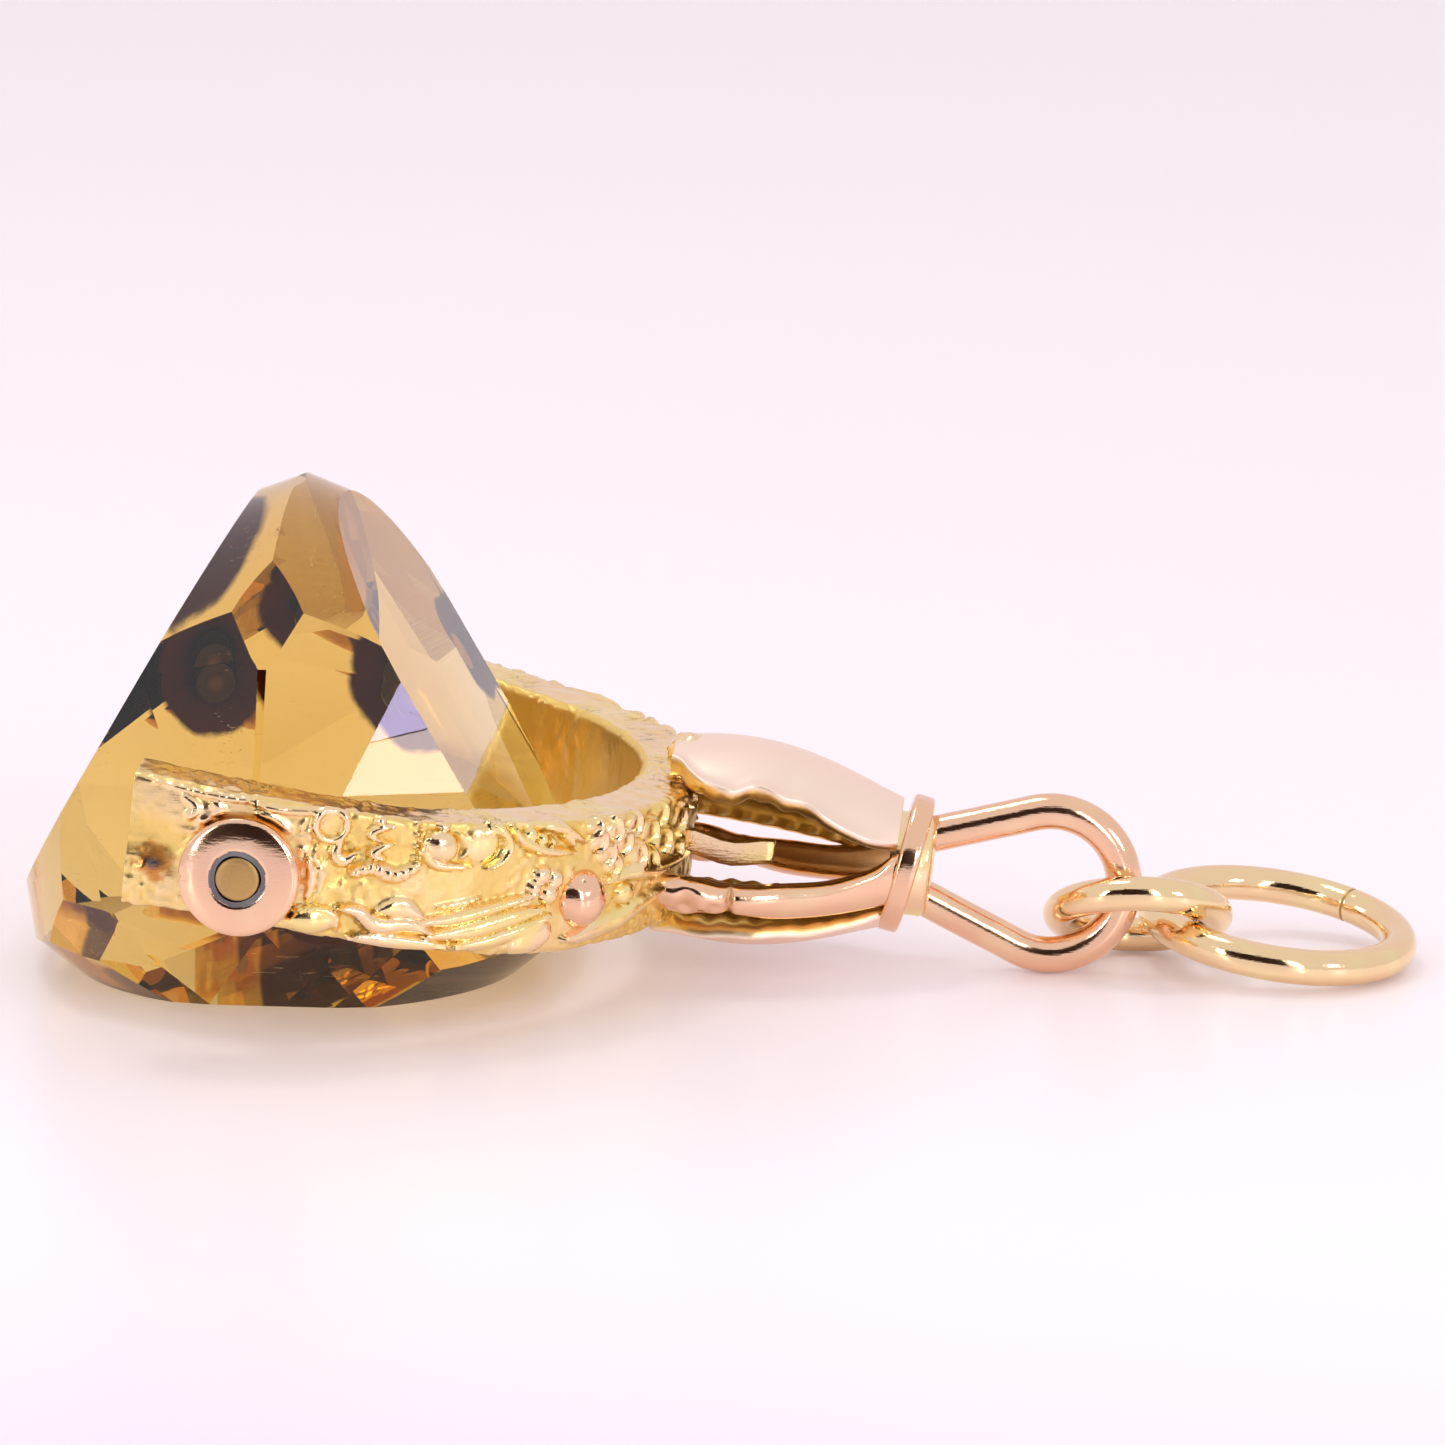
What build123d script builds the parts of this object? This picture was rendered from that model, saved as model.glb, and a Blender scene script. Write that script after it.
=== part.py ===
from build123d import *
from math import acos, atan2, cos, hypot, radians, sin, sqrt, tan
import os

# A spinner fob: a three-faced stone on two pins in a cast horseshoe yoke, with a
# leafed crown, a collar and a wire loop that carries two rings. Millimetres.
# The fob lies as it is kept: one round face of the stone flat on the ground.

# Stone
face_distance = 6.06          # pin axis to each round face, also the pin's height at rest
face_radius = 7.65            # flat part of a round face
face_bevel_angle = 50.0       # half angle of the thin bevel round a face
corner_distance = 10.1        # pin axis to the flat along each corner
stone_clearance = 0.9         # stone's end flat to the inside of its arm
faces = 3

# Facets of one corner at one end: turn from the corner, tilt towards the end and
# distance from the stone's middle as a share of face_distance, and whether the
# facet is cut on both sides of the corner.
facet_table = (
    # name, turn, tilt, share, both_sides
    ("corner_slope", 0.0, 12.5, 1.690, False),
    ("corner_side", 13.4, 11.6, 1.647, True),
    ("shoulder", 30.2, 18.8, 1.581, True),
    ("kite", 0.0, 55.0, 1.736, False),
    ("side", 53.1, 56.4, 1.548, True),
    ("lower_kite", 0.0, 68.0, 1.716, False),
    ("lower_side", 47.5, 52.6, 1.568, True),
    ("face_wedge", 60.0, 51.7, 1.5655, False),
)

# Pins and washers
pin_radius = 0.71
pin_running_gap = 0.05        # pin in the arm's bore, on the radius
pin_glue_gap = 0.02           # pin in the stone's blind hole, on the radius
pin_depth = 1.8               # how far a pin is set into the stone
pin_stands_out = 0.02         # pin end proud of the washer
washer_radius = 1.77
washer_thickness = 0.5
washer_bore_gap = 0.19        # the dark ring round the pin, on the radius
washer_seat_gap = 0.02

# Yoke
lie_angle = 6.77              # how far the frame droops from the pins to the loop
arm_inside = 12.1             # half the width between the arms
arm_thickness = 2.1
arch_centre = -2.0            # where the straight ends of the arms meet the arch
arch_inside_reach = 11.25     # pin axis to the inside of the arch
arch_thickness = 2.15
arm_tall = 4.25               # height of an arm at its tail
arm_tail = 3.6                # arm beyond the pin axis
arm_edge = 0.18               # chamfer along the arms' long edges
boss_extra = 0.35             # seat round each washer, wider than it
boss_step = 0.02              # seat stands out from the arm
bore_overrun = 1.0            # cut for a pin starts inside the arms

# Side view of the yoke past its tail: share of the arch's reach along it, and share of
# arm_tall above the pin axis
arm_top_share = 0.6706        # top of the tail above the pin axis
arm_upper_edge = ((0.0896, 0.5882), (0.3955, 0.4988), (0.6716, 0.4706), (1.0448, 0.4706))
arm_lower_edge = (
    (0.0000, -0.3529), (0.2313, -0.4282), (0.4552, -0.4941),
    (0.7015, -0.5529), (1.0448, -0.5412),
)

# Cast relief on the outside of each arm; a rise is a share of relief_rise
relief_rise = 0.32
relief_table = (
    # form, share of the reach along, shares of arm_tall up and for its radius, rise
    ("cup", 0.1940, 0.4118, 0.1224, 1.0),
    ("bead", 0.3060, 0.4353, 0.0565, 1.0),
    ("bead", 0.3022, 0.2824, 0.0612, 0.8),
    ("cup", 0.4552, 0.2941, 0.1176, 1.2),
    ("cup", 0.5299, 0.2588, 0.1765, 0.8),
    ("bead", 0.6194, 0.3176, 0.0706, 0.8),
    ("bead", 0.6679, 0.3294, 0.0800, 1.0),
    ("bead", 0.7090, 0.3059, 0.0612, 0.8),
    ("cup", 0.8209, 0.1765, 0.1459, 1.0),
    ("bead", 0.9179, 0.2118, 0.1294, 1.0),
    ("bead", 0.6828, 0.0588, 0.0565, 1.1),
    ("bead", 0.1567, -0.2706, 0.1294, 0.8),
    ("bead", 0.2239, -0.2941, 0.1059, 0.6),
    ("bead", 0.5522, -0.3176, 0.1176, 0.7),
    ("bead", 0.6418, -0.3529, 0.1059, 0.7),
    ("bead", 0.3955, -0.3176, 0.0941, 0.7),
)
border_along_share = 0.4030   # row of small beads across the arm
border_beads = 6
border_bead_radius = 0.17
border_low_share = 0.0235
border_high_share = 0.4588
shoulder_bead_radius = 1.0
shoulder_bead_along_share = 0.7724
shoulder_bead_height_share = -0.1765
shoulder_bead_sunk = 0.35

# Crown: an open shell of two leaves and two straps
crown_overlap = 1.2           # crown starts inside the front of the arch
crown_length = 8.1
crown_width = 4.75            # half width at the arch
crown_tall = 3.42             # half height at its fullest
crown_wall = 0.42
crown_sections = (
    # shares of crown_length, crown_width and crown_tall
    (0.0000, 1.0000, 0.9064),
    (0.2840, 0.9263, 1.0000),
    (0.4938, 0.8316, 0.9649),
    (0.6914, 0.6947, 0.8626),
    (0.8765, 0.5263, 0.7076),
    (1.0000, 0.4316, 0.6140),
)
strap_thickness = 0.85
# Scalloped edge of the upper leaf, plain edge of the lower one, and a strap seen from
# the side, bowed up to the collar: shares of crown_length along and of crown_tall up
upper_leaf_edge = (
    (-0.1481, 0.8480), (0.0864, 0.8041), (0.1728, 0.6725), (0.2840, 0.6287),
    (0.3580, 0.6871), (0.4691, 0.6287), (0.5802, 0.5848), (0.6790, 0.4532),
    (0.7778, 0.3509), (0.8642, 0.2778), (0.9506, 0.2632),
)
lower_leaf_edge = (
    (0.9506, -0.4386), (0.7160, -0.5994), (0.3457, -0.7018), (0.0864, -0.7602), (-0.1481, -0.8480),
)
strap_outline = (
    (0.0000, -0.2193), (0.3457, -0.2193), (0.7160, -0.1316), (0.8765, 0.0292),
    (0.9383, 0.2193), (1.0000, 0.2193), (1.0000, -0.3509), (0.7778, -0.4678),
    (0.3457, -0.5409), (0.0000, -0.5556),
)
root_bead_radius = 0.8
root_bead_set_out = 0.65      # from the crown's start
root_bead_set_in = 0.87       # from the crown's fullest height
tongue_length = 3.6
tongue_height = 0.8
tongue_thickness = 0.45
tongue_across = -1.6
tongue_set_in = 0.9            # root of the tongue inside the arch

# Collar, neck and loop
collar_past = 0.15            # collar's middle past the crown's end
collar_radius = 1.98
collar_wire = 0.4
collar_lean = 9.0
neck_radius = 1.72
neck_before = 0.55            # neck on each side of the collar's middle
neck_after = 0.9
loop_wire = 0.6
loop_bend = 2.45
loop_set_out = 0.55           # loop's roots past the collar's middle
loop_leg = 4.3                # from the loop's roots to the middle of its bend
loop_root_height = 0.98

# Rings: how far on and across each centre is from what carries it, how high its lowest
# point hangs over the ground, and how it leans about the fob's length and its width
small_ring_wire = 0.575
small_ring_bend = 2.6
small_ring_on = 0.513
small_ring_across = 0.91
small_ring_lift = 0.024
small_ring_lean = (-29.0, -0.8)
large_ring_wire = 0.6
large_ring_bend = 4.15
large_ring_on = 4.7
large_ring_across = 1.36
large_ring_lift = 0.084
large_ring_lean = (4.6, 7.2)

pin_height = face_distance
arm_outside = arm_inside + arm_thickness
arch_outside_reach = arch_inside_reach + arch_thickness
stone_end = arm_inside - stone_clearance
stock_radius = 2 * face_distance
washer_face = arm_outside + boss_step + washer_seat_gap + washer_thickness
arch_outside_half = arch_outside_reach - arch_centre
arch_inside_half = arch_inside_reach - arch_centre
crown_start = arch_outside_reach - crown_overlap
collar_along = crown_start + crown_length + collar_past
loop_root_along = collar_along + loop_set_out
loop_centre = loop_root_along + loop_leg
os.makedirs("parts", exist_ok=True)

# Where the loop's straight legs meet its bend
leg_reach = hypot(loop_centre - loop_root_along, loop_root_height)
leg_turn = atan2(loop_root_height, loop_root_along - loop_centre) - acos(loop_bend / leg_reach)
loop_touch = Vector(loop_centre + loop_bend * cos(leg_turn), loop_bend * sin(leg_turn))


def facet_plane(turn, tilt, distance, end):
    """Plane of a facet; the turn starts at the top corner, end is -1 near and 1 far."""
    across = cos(radians(tilt))
    normal = Vector(sin(radians(turn)) * across, end * sin(radians(tilt)), cos(radians(turn)) * across)
    return Plane(Vector(0, 0, pin_height) + normal * distance, z_dir=normal)


def arm_spot(along, height, sunk=0.0):
    """Plane on the outside of the near arm, or sunk below it, looking outwards."""
    share = max(0.0, (along - arch_centre) / arch_outside_half)
    depth = arm_outside * sqrt(1 - share**2)
    slope = Vector(share / arch_outside_half, -depth / arm_outside**2, 0).normalized()
    place = Vector(along, -depth, height) - slope * sunk
    return Plane(place, x_dir=Vector(0, 0, 1), z_dir=slope)


def side_spots(table):
    """Spots of an arm's edge in the side view, from its shares."""
    return [(share * arch_outside_reach, up * arm_tall) for share, up in table]


def crown_spots(table):
    """Spots of the crown in the side view, from its shares."""
    return [(crown_start + share * crown_length, up * crown_tall) for share, up in table]


# The stone, cut from a round bar whose axis is the pins'
with BuildPart() as stone:
    with Locations((0, 0, pin_height)):
        Cylinder(stock_radius, 2 * stone_end, rotation=(90, 0, 0))
    for face in range(faces):
        corner = face * 360 / faces
        split(bisect_by=facet_plane(corner, 0, corner_distance, 1), keep=Keep.BOTTOM)
        split(bisect_by=facet_plane(corner + 180 / faces, 0, face_distance, 1), keep=Keep.BOTTOM)
        for name, turn, tilt, share, both_sides in facet_table:
            for end in (-1, 1):
                for way in (-1, 1) if both_sides else (1,):
                    cut = facet_plane(corner + way * turn, tilt, share * face_distance, end)
                    split(bisect_by=cut, keep=Keep.BOTTOM)
    bevel_depth = face_distance + corner_distance
    bevel_radius = face_radius + bevel_depth * tan(radians(face_bevel_angle))
    for face in range(faces):
        round_face = facet_plane((face + 0.5) * 360 / faces, 0, face_distance, 1)
        with Locations(round_face):
            Cone(
                bevel_radius,
                face_radius,
                bevel_depth,
                align=(Align.CENTER, Align.CENTER, Align.MAX),
                mode=Mode.INTERSECT,
            )
    for end in (-1, 1):
        with BuildSketch(Plane((0, end * stone_end, pin_height), z_dir=(0, end, 0))):
            Circle(pin_radius + pin_glue_gap)
        extrude(amount=-pin_depth - pin_glue_gap, mode=Mode.SUBTRACT)
stone.part.label = "stone"
export_step(stone.part, "parts/stone.step")

# One pin at each end, glued in the stone and running in its arm
pin_start = stone_end - pin_depth
pin_end = washer_face + pin_stands_out
for name, end in (("pin_near", -1), ("pin_far", 1)):
    with BuildPart() as pin:
        with BuildSketch(Plane((0, end * pin_start, pin_height), z_dir=(0, end, 0))):
            Circle(pin_radius)
        extrude(amount=pin_end - pin_start)
    pin.part.label = name
    export_step(pin.part, f"parts/{name}.step")

# A flat washer over each pin, laid against the seat on its arm
laid_down = Location((0, 0, pin_height), (0, lie_angle, 0))
for name, end in (("washer_near", -1), ("washer_far", 1)):
    with BuildPart() as washer:
        with BuildSketch(Plane((0, end * (washer_face - washer_thickness), pin_height), z_dir=(0, end, 0))):
            Circle(washer_radius)
            Circle(pin_radius + washer_bore_gap, mode=Mode.SUBTRACT)
        extrude(amount=washer_thickness)
    washer.part.label = name
    export_step(washer.part, f"parts/{name}.step")

# The crown's leaves: a shell between two lofts, with scalloped windows cut through it
with BuildPart() as leaves:
    for inset, way in ((0, Mode.ADD), (crown_wall, Mode.SUBTRACT)):
        for share, width_share, height_share in crown_sections:
            with BuildSketch(Plane.YZ.offset(crown_start + share * crown_length)):
                Ellipse(crown_width * width_share - inset, crown_tall * height_share - inset)
        loft(mode=way)
    with BuildSketch(Plane.XZ):
        with BuildLine():
            Polyline(*crown_spots(upper_leaf_edge + lower_leaf_edge), close=True)
        make_face()
    extrude(amount=arm_outside, both=True, mode=Mode.SUBTRACT)

# The crown's straps: the same shell, thicker, kept in a band a little below the middle
with BuildPart() as straps:
    for inset, way in ((0, Mode.ADD), (strap_thickness, Mode.SUBTRACT)):
        for share, width_share, height_share in crown_sections:
            with BuildSketch(Plane.YZ.offset(crown_start + share * crown_length)):
                Ellipse(crown_width * width_share - inset, crown_tall * height_share - inset)
        loft(mode=way)
    with BuildSketch(Plane.XZ.offset(-arm_outside)):
        with BuildLine():
            Polyline(*crown_spots(strap_outline), close=True)
        make_face()
    extrude(amount=2 * arm_outside, dir=(0, -1, 0), mode=Mode.INTERSECT)

# The frame is built level about the pin axis and then laid down
with BuildPart() as frame:
    # Near half of the yoke: the arch in plan, cut to its side view
    with BuildSketch(Plane.XY.offset(-2 * face_distance)):
        with Locations((arch_centre, 0)):
            Ellipse(arch_outside_half, arm_outside)
            Ellipse(arch_inside_half, arm_inside, mode=Mode.SUBTRACT)
        with Locations((-2 * arch_outside_reach + arch_centre, 0)):
            Rectangle(4 * arch_outside_reach, 3 * arm_outside, mode=Mode.SUBTRACT)
        tail = arm_tail + arch_centre
        with Locations((arch_centre - tail / 2, 0)):
            Rectangle(tail, 2 * arm_outside)
            Rectangle(tail, 2 * arm_inside, mode=Mode.SUBTRACT)
        with Locations((0, arm_outside)):
            Rectangle(4 * arch_outside_reach, 2 * arm_outside, mode=Mode.SUBTRACT)
    extrude(amount=4 * face_distance)
    with BuildSketch(Plane.XZ.offset(-2 * arm_outside)):
        with BuildLine():
            upper = Spline((-arm_tail, arm_tall * arm_top_share), *side_spots(arm_upper_edge))
            lower = Spline((-arm_tail, arm_tall * (arm_top_share - 1)), *side_spots(arm_lower_edge))
            Line(upper @ 0, lower @ 0)
            Line(upper @ 1, lower @ 1)
        make_face()
    extrude(amount=4 * arm_outside, dir=(0, -1, 0), mode=Mode.INTERSECT)
    for level in (-1, 0):
        edges = frame.faces().sort_by(Axis.Z)[level].edges()
        chamfer(edges.filter_by(lambda edge: edge.length > arch_outside_reach), arm_edge)
    # Seat for the washer
    with BuildSketch(Plane((0, -(arm_inside + arm_outside) / 2, 0), z_dir=(0, -1, 0))):
        Circle(washer_radius + boss_extra)
    extrude(amount=(arm_outside - arm_inside) / 2 + boss_step)
    # Cast relief
    for form, along_share, height_share, radius_share, rise in relief_table:
        along = along_share * arch_outside_reach
        height = height_share * arm_tall
        radius = radius_share * arm_tall
        raised = rise * relief_rise
        if form == "cup":
            with Locations(arm_spot(along, height)):
                Torus(radius, raised)
        else:
            ball = max(radius, raised)
            with Locations(arm_spot(along, height, ball - raised)):
                Sphere(ball)
    for bead in range(border_beads):
        step = (border_high_share - border_low_share) / (border_beads - 1)
        bead_height = arm_tall * (border_low_share + step * bead)
        with Locations(arm_spot(border_along_share * arch_outside_reach, bead_height)):
            Sphere(border_bead_radius)
    shoulder_along = shoulder_bead_along_share * arch_outside_reach
    with Locations(arm_spot(shoulder_along, shoulder_bead_height_share * arm_tall, shoulder_bead_sunk)):
        Sphere(shoulder_bead_radius)
    # Bore for the pin, and the far half
    with BuildSketch(Plane((0, -arm_inside + bore_overrun, 0), z_dir=(0, -1, 0))):
        Circle(pin_radius + pin_running_gap)
    extrude(amount=arm_outside, mode=Mode.SUBTRACT)
    mirror(about=Plane.XZ)
    # Crown
    add(leaves.part)
    add(straps.part)
    root_bead_along = crown_start + root_bead_set_out
    root_bead_height = crown_tall - root_bead_set_in
    with Locations((root_bead_along, 0, root_bead_height), (root_bead_along, 0, -root_bead_height)):
        Sphere(root_bead_radius)
    with Locations((arch_outside_reach - tongue_set_in, tongue_across, 0)):
        Box(tongue_length, tongue_thickness, tongue_height, align=(Align.MIN, Align.CENTER, Align.CENTER))
    # Neck, collar and loop
    with BuildSketch(Plane.YZ.offset(collar_along - neck_before)):
        Circle(neck_radius)
    extrude(amount=neck_before + neck_after)
    with Locations(Location((collar_along, 0, 0), (0, 90 + collar_lean, 0))):
        Torus(collar_radius, collar_wire)
    with BuildLine(Plane.XZ) as loop_path:
        for way in (1, -1):
            Line((loop_root_along, way * loop_root_height), (loop_touch.X, way * loop_touch.Y))
        ThreePointArc(
            (loop_touch.X, loop_touch.Y),
            (loop_centre + loop_bend, 0),
            (loop_touch.X, -loop_touch.Y),
        )
    with BuildSketch(Plane((loop_root_along, 0, loop_root_height), z_dir=loop_path.wires()[0] % 0)):
        Circle(loop_wire)
    sweep(path=loop_path.wires()[0])
frame.part.label = "frame"
frame.part.move(laid_down)
export_step(frame.part, "parts/frame.step")

# Two round wire rings: the small one joins the loop and the large one
loop_tip = (laid_down * Location((loop_centre + loop_bend, 0, 0))).position
carrier = Vector(loop_tip.X, 0)
small_step = (small_ring_on, small_ring_across)
large_step = (large_ring_on, large_ring_across)
for name, bend, wire, step, lift, lean in (
    ("small_ring", small_ring_bend, small_ring_wire, small_step, small_ring_lift, small_ring_lean),
    ("large_ring", large_ring_bend, large_ring_wire, large_step, large_ring_lift, large_ring_lean),
):
    turned = Location((0, 0, 0), (0, lean[1], 0)) * Location((0, 0, 0), (lean[0], 0, 0))
    level_share = (turned * Location((0, 0, 1))).position.Z
    carrier = carrier + Vector(*step)
    centre = Vector(carrier.X, carrier.Y, bend * sqrt(1 - level_share**2) + wire + lift)
    with BuildPart() as ring:
        with Locations(Location(centre) * turned):
            Torus(bend, wire)
    ring.part.label = name
    export_step(ring.part, f"parts/{name}.step")
    print(name, centre)

print("stone", round(stone.part.volume, 2), "frame", round(frame.part.volume, 2), len(frame.part.solids()))
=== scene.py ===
"""The looks of a spinner fob: a faceted stone on pins in a cast gold yoke, with its crown, loop and rings.

Sizes are in millimetres in the level frame, where x runs from the pins to the loop, y across the
fob and z up from the pin axis. The fob lies with its frame turned a little down about the pins.
"""

import logging
from collections.abc import Callable, Iterable
from dataclasses import dataclass, field
from enum import Enum
from itertools import product
from math import acos, atan2, cos, hypot, pi, radians, sin

import bmesh
import bpy
import numpy as np
from mathutils import Matrix, Vector


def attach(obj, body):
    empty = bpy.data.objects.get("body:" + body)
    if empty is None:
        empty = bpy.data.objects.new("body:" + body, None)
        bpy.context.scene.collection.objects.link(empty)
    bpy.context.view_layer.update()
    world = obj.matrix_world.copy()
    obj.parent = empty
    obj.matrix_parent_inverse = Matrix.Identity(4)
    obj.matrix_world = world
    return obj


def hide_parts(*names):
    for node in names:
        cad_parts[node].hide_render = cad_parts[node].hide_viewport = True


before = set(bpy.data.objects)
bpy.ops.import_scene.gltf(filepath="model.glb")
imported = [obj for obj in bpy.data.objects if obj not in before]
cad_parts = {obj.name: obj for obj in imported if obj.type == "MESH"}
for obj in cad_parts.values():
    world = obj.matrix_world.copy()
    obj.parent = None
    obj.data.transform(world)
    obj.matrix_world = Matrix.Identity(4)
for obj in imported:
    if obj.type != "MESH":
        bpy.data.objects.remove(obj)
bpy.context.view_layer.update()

logging.basicConfig(level=logging.INFO, format="%(message)s")
LOG = logging.getLogger("fob")

Array = np.ndarray
Triple = tuple[float, float, float]
Colour = Triple
Spot = tuple[float, float]

MM = 0.001
PIN_HEIGHT = 6.06
LIE_ANGLE = 6.77
TO_METRES = Matrix.Scale(MM, 4)
LAID_DOWN = TO_METRES @ Matrix.Translation((0, 0, PIN_HEIGHT)) @ Matrix.Rotation(radians(LIE_ANGLE), 4, "Y")
LATTICE = np.random.default_rng(7).random((32, 32, 32))
SKIN_GAP = 0.002  # points nearer than this are merged in a bent skin
FINE_GAP = 0.0005  # and in the stone and in turned shapes
SHARP_EDGE = radians(50)
NEW_METAL = 0.2  # how far plain metal counts as standing out in the finishes
USED_METAL = 0.16  # and metal that is handled


class Body(Enum):
    """The rigid bodies that pieces ride on."""

    FRAME = "frame"
    SPINNER = "spinner"


def cloud(points: Array, size: float) -> Array:
    """Smooth noise from 0 to 1 at points in millimetres.

    Args:
        points: One row of x, y and z for each point.
        size: Width of a lump.

    Returns:
        One value for each point.
    """
    cell = points / size
    base = np.floor(cell).astype(int)
    part = cell - base
    part = part * part * (3 - 2 * part)
    total = np.zeros(len(points))
    for corner in product((0, 1), repeat=3):
        weight = np.prod(np.where(corner, part, 1 - part), axis=1)
        spot = (base + corner) % len(LATTICE)
        total += weight * LATTICE[spot[:, 0], spot[:, 1], spot[:, 2]]
    return total


def uneven(points: Array, depth: float, size: float) -> Array:
    """Swells and hollows of a depth and a size in millimetres."""
    return depth * (cloud(points, size) - 0.5)


def hump(away: Array, width: float, height: float = 1.0) -> Array:
    """A soft hump of a width and a height, at distances from its middle."""
    return height * np.exp(-((away / width) ** 2))


def column(*values: Array | float) -> Array:
    """Put coordinates side by side, one row for each point."""
    return np.stack(np.broadcast_arrays(*values), axis=-1).astype(float)


def grown_grid(columns: int, rows: int, place: Callable[[Array, Array], tuple[Array, Array]]) -> bmesh.types.BMesh:
    """Bend a flat grid into a closed skin.

    Args:
        columns: Cells along u.
        rows: Cells along v.
        place: Gives the points, in millimetres, and how far each is raised, from u and v in 0 to 1.

    Returns:
        The skin, with its seams merged and its faces outwards.
    """
    mesh = bmesh.new()
    bmesh.ops.create_grid(mesh, x_segments=columns, y_segments=rows, size=0.5)
    raised = mesh.verts.layers.float.new("raised")
    flat = np.array([vert.co[:2] for vert in mesh.verts]) + 0.5
    spots, heights = place(flat[:, 0], flat[:, 1])
    for vert, spot, height in zip(mesh.verts, spots, np.broadcast_to(heights, len(spots))):
        vert.co = spot
        vert[raised] = height
    bmesh.ops.remove_doubles(mesh, verts=mesh.verts, dist=SKIN_GAP)
    bmesh.ops.recalc_face_normals(mesh, faces=mesh.faces)
    return mesh


def section(v: Array, rim_p: Array, rim_q: Array, outer: float = 0.5) -> tuple[Array, Array, Array]:
    """Walk once round a plate's section with rounded rims.

    Args:
        v: Share of the walk.
        rim_p: Rim radius as a share of the plate's thickness.
        rim_q: Rim radius as a share of the plate's width.
        outer: Share of the walk that the outer face takes.

    Returns:
        Place through the thickness, 1 outside, place across the width, and the turn of the normal.
    """
    # Corner, rim, corner, inner face, corner, rim and corner, as shares of what the outer face leaves
    shares = (0.12, 0.2, 0.09, 0.26, 0.09, 0.14, 0.1)
    marks = np.cumsum([0, outer, *(share * (1 - outer) for share in shares)])
    through = np.interp(v, marks, (1, 1, 1, 0, 0, 0, 0, 1, 1))
    across = np.interp(v, marks, (0, 1, 1, 1, 1, 0, 0, 0, 0))
    turn = np.interp(v, marks, np.radians((0, 0, 90, 90, 180, 180, 270, 270, 360)))
    p = rim_p + (1 - 2 * rim_p) * through + rim_p * np.cos(turn)
    q = rim_q + (1 - 2 * rim_q) * across + rim_q * np.sin(turn)
    return p, q, turn


def closed_ends(u: Array, share: float = 0.012) -> tuple[Array, Array]:
    """Draw a skin's ends in to a point so that they close flat with a soft rim.

    Args:
        u: Share of the length.
        share: Part of the length at each end that makes the cap.

    Returns:
        The share of the real length, and how wide the section is there.
    """
    step = np.clip(np.minimum(u, 1 - u) / share, 0, 1)
    flat, reach = 0.6, 0.9  # the cap is flat out to this, and rounds off beyond
    rounded = reach + (1 - reach) * np.sin((step - flat) / (1 - flat) * pi / 2)
    wide = np.where(step < flat, step / flat * reach, rounded)
    return np.clip((u - share) / (1 - 2 * share), 0, 1), wide


def tube(
    centre: Array, side: Array, normal: Array, radius: Array | float, turn: Array, wide: Array | float = 1.0
) -> Array:
    """Points of a round wire from its centre line.

    Args:
        centre: Points of the centre line.
        side: Unit vectors across it.
        normal: Unit vectors across it, square to side.
        radius: Radius of the wire.
        turn: Angle round the wire.
        wide: Share of the radius, for closed ends.

    Returns:
        The points.
    """
    reach = np.broadcast_to(radius * np.asarray(wide), turn.shape)[:, None]
    return centre + reach * (np.cos(turn)[:, None] * side + np.sin(turn)[:, None] * normal)


def smooth_line(path: Iterable[Spot], steps: int = 8) -> Array:
    """Points of a smooth curve through a few spots."""
    spots = np.array(list(path), float)
    ends = np.vstack((2 * spots[0] - spots[1], spots, 2 * spots[-1] - spots[-2]))
    made = []
    for a, b, c, d in zip(ends, ends[1:], ends[2:], ends[3:]):
        for t in np.arange(steps) / steps:
            bend = (2 * a - 5 * b + 4 * c - d) * t**2 + (3 * b - a - 3 * c + d) * t**3
            made.append(0.5 * (2 * b + (c - a) * t + bend))
    return np.array([*made, spots[-1]])


def spun(profile: Iterable[Spot], axis: Vector, centre: Vector, steps: int) -> bmesh.types.BMesh:
    """Spin a profile about a level axis.

    Args:
        profile: Places along the axis and radii.
        axis: Unit vector along the axis.
        centre: A point on the axis, from which the places count.
        steps: Cells round the axis.

    Returns:
        The closed shape.
    """
    shape = bmesh.new()
    verts = [shape.verts.new(centre + axis * place + Vector((0, 0, radius))) for place, radius in profile]
    edges = [shape.edges.new(pair) for pair in zip(verts, verts[1:])]
    bmesh.ops.spin(shape, geom=verts + edges, cent=centre, axis=axis, angle=2 * pi, steps=steps, use_merge=True)
    bmesh.ops.remove_doubles(shape, verts=shape.verts, dist=FINE_GAP)
    bmesh.ops.recalc_face_normals(shape, faces=shape.faces)
    return shape


def to_object(name: str, mesh: bmesh.types.BMesh, material: bpy.types.Material) -> bpy.types.Object:
    """Put a bmesh, which is used up, into the scene as an object at the origin."""
    data = bpy.data.meshes.new(name)
    mesh.to_mesh(data)
    mesh.free()
    data.materials.append(material)
    made = bpy.data.objects.new(name, data)
    bpy.context.scene.collection.objects.link(made)
    return made


@dataclass(frozen=True)
class Finish:
    """A material, and the slot in the record that it stands for."""

    material: bpy.types.Material
    slot: str


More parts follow.
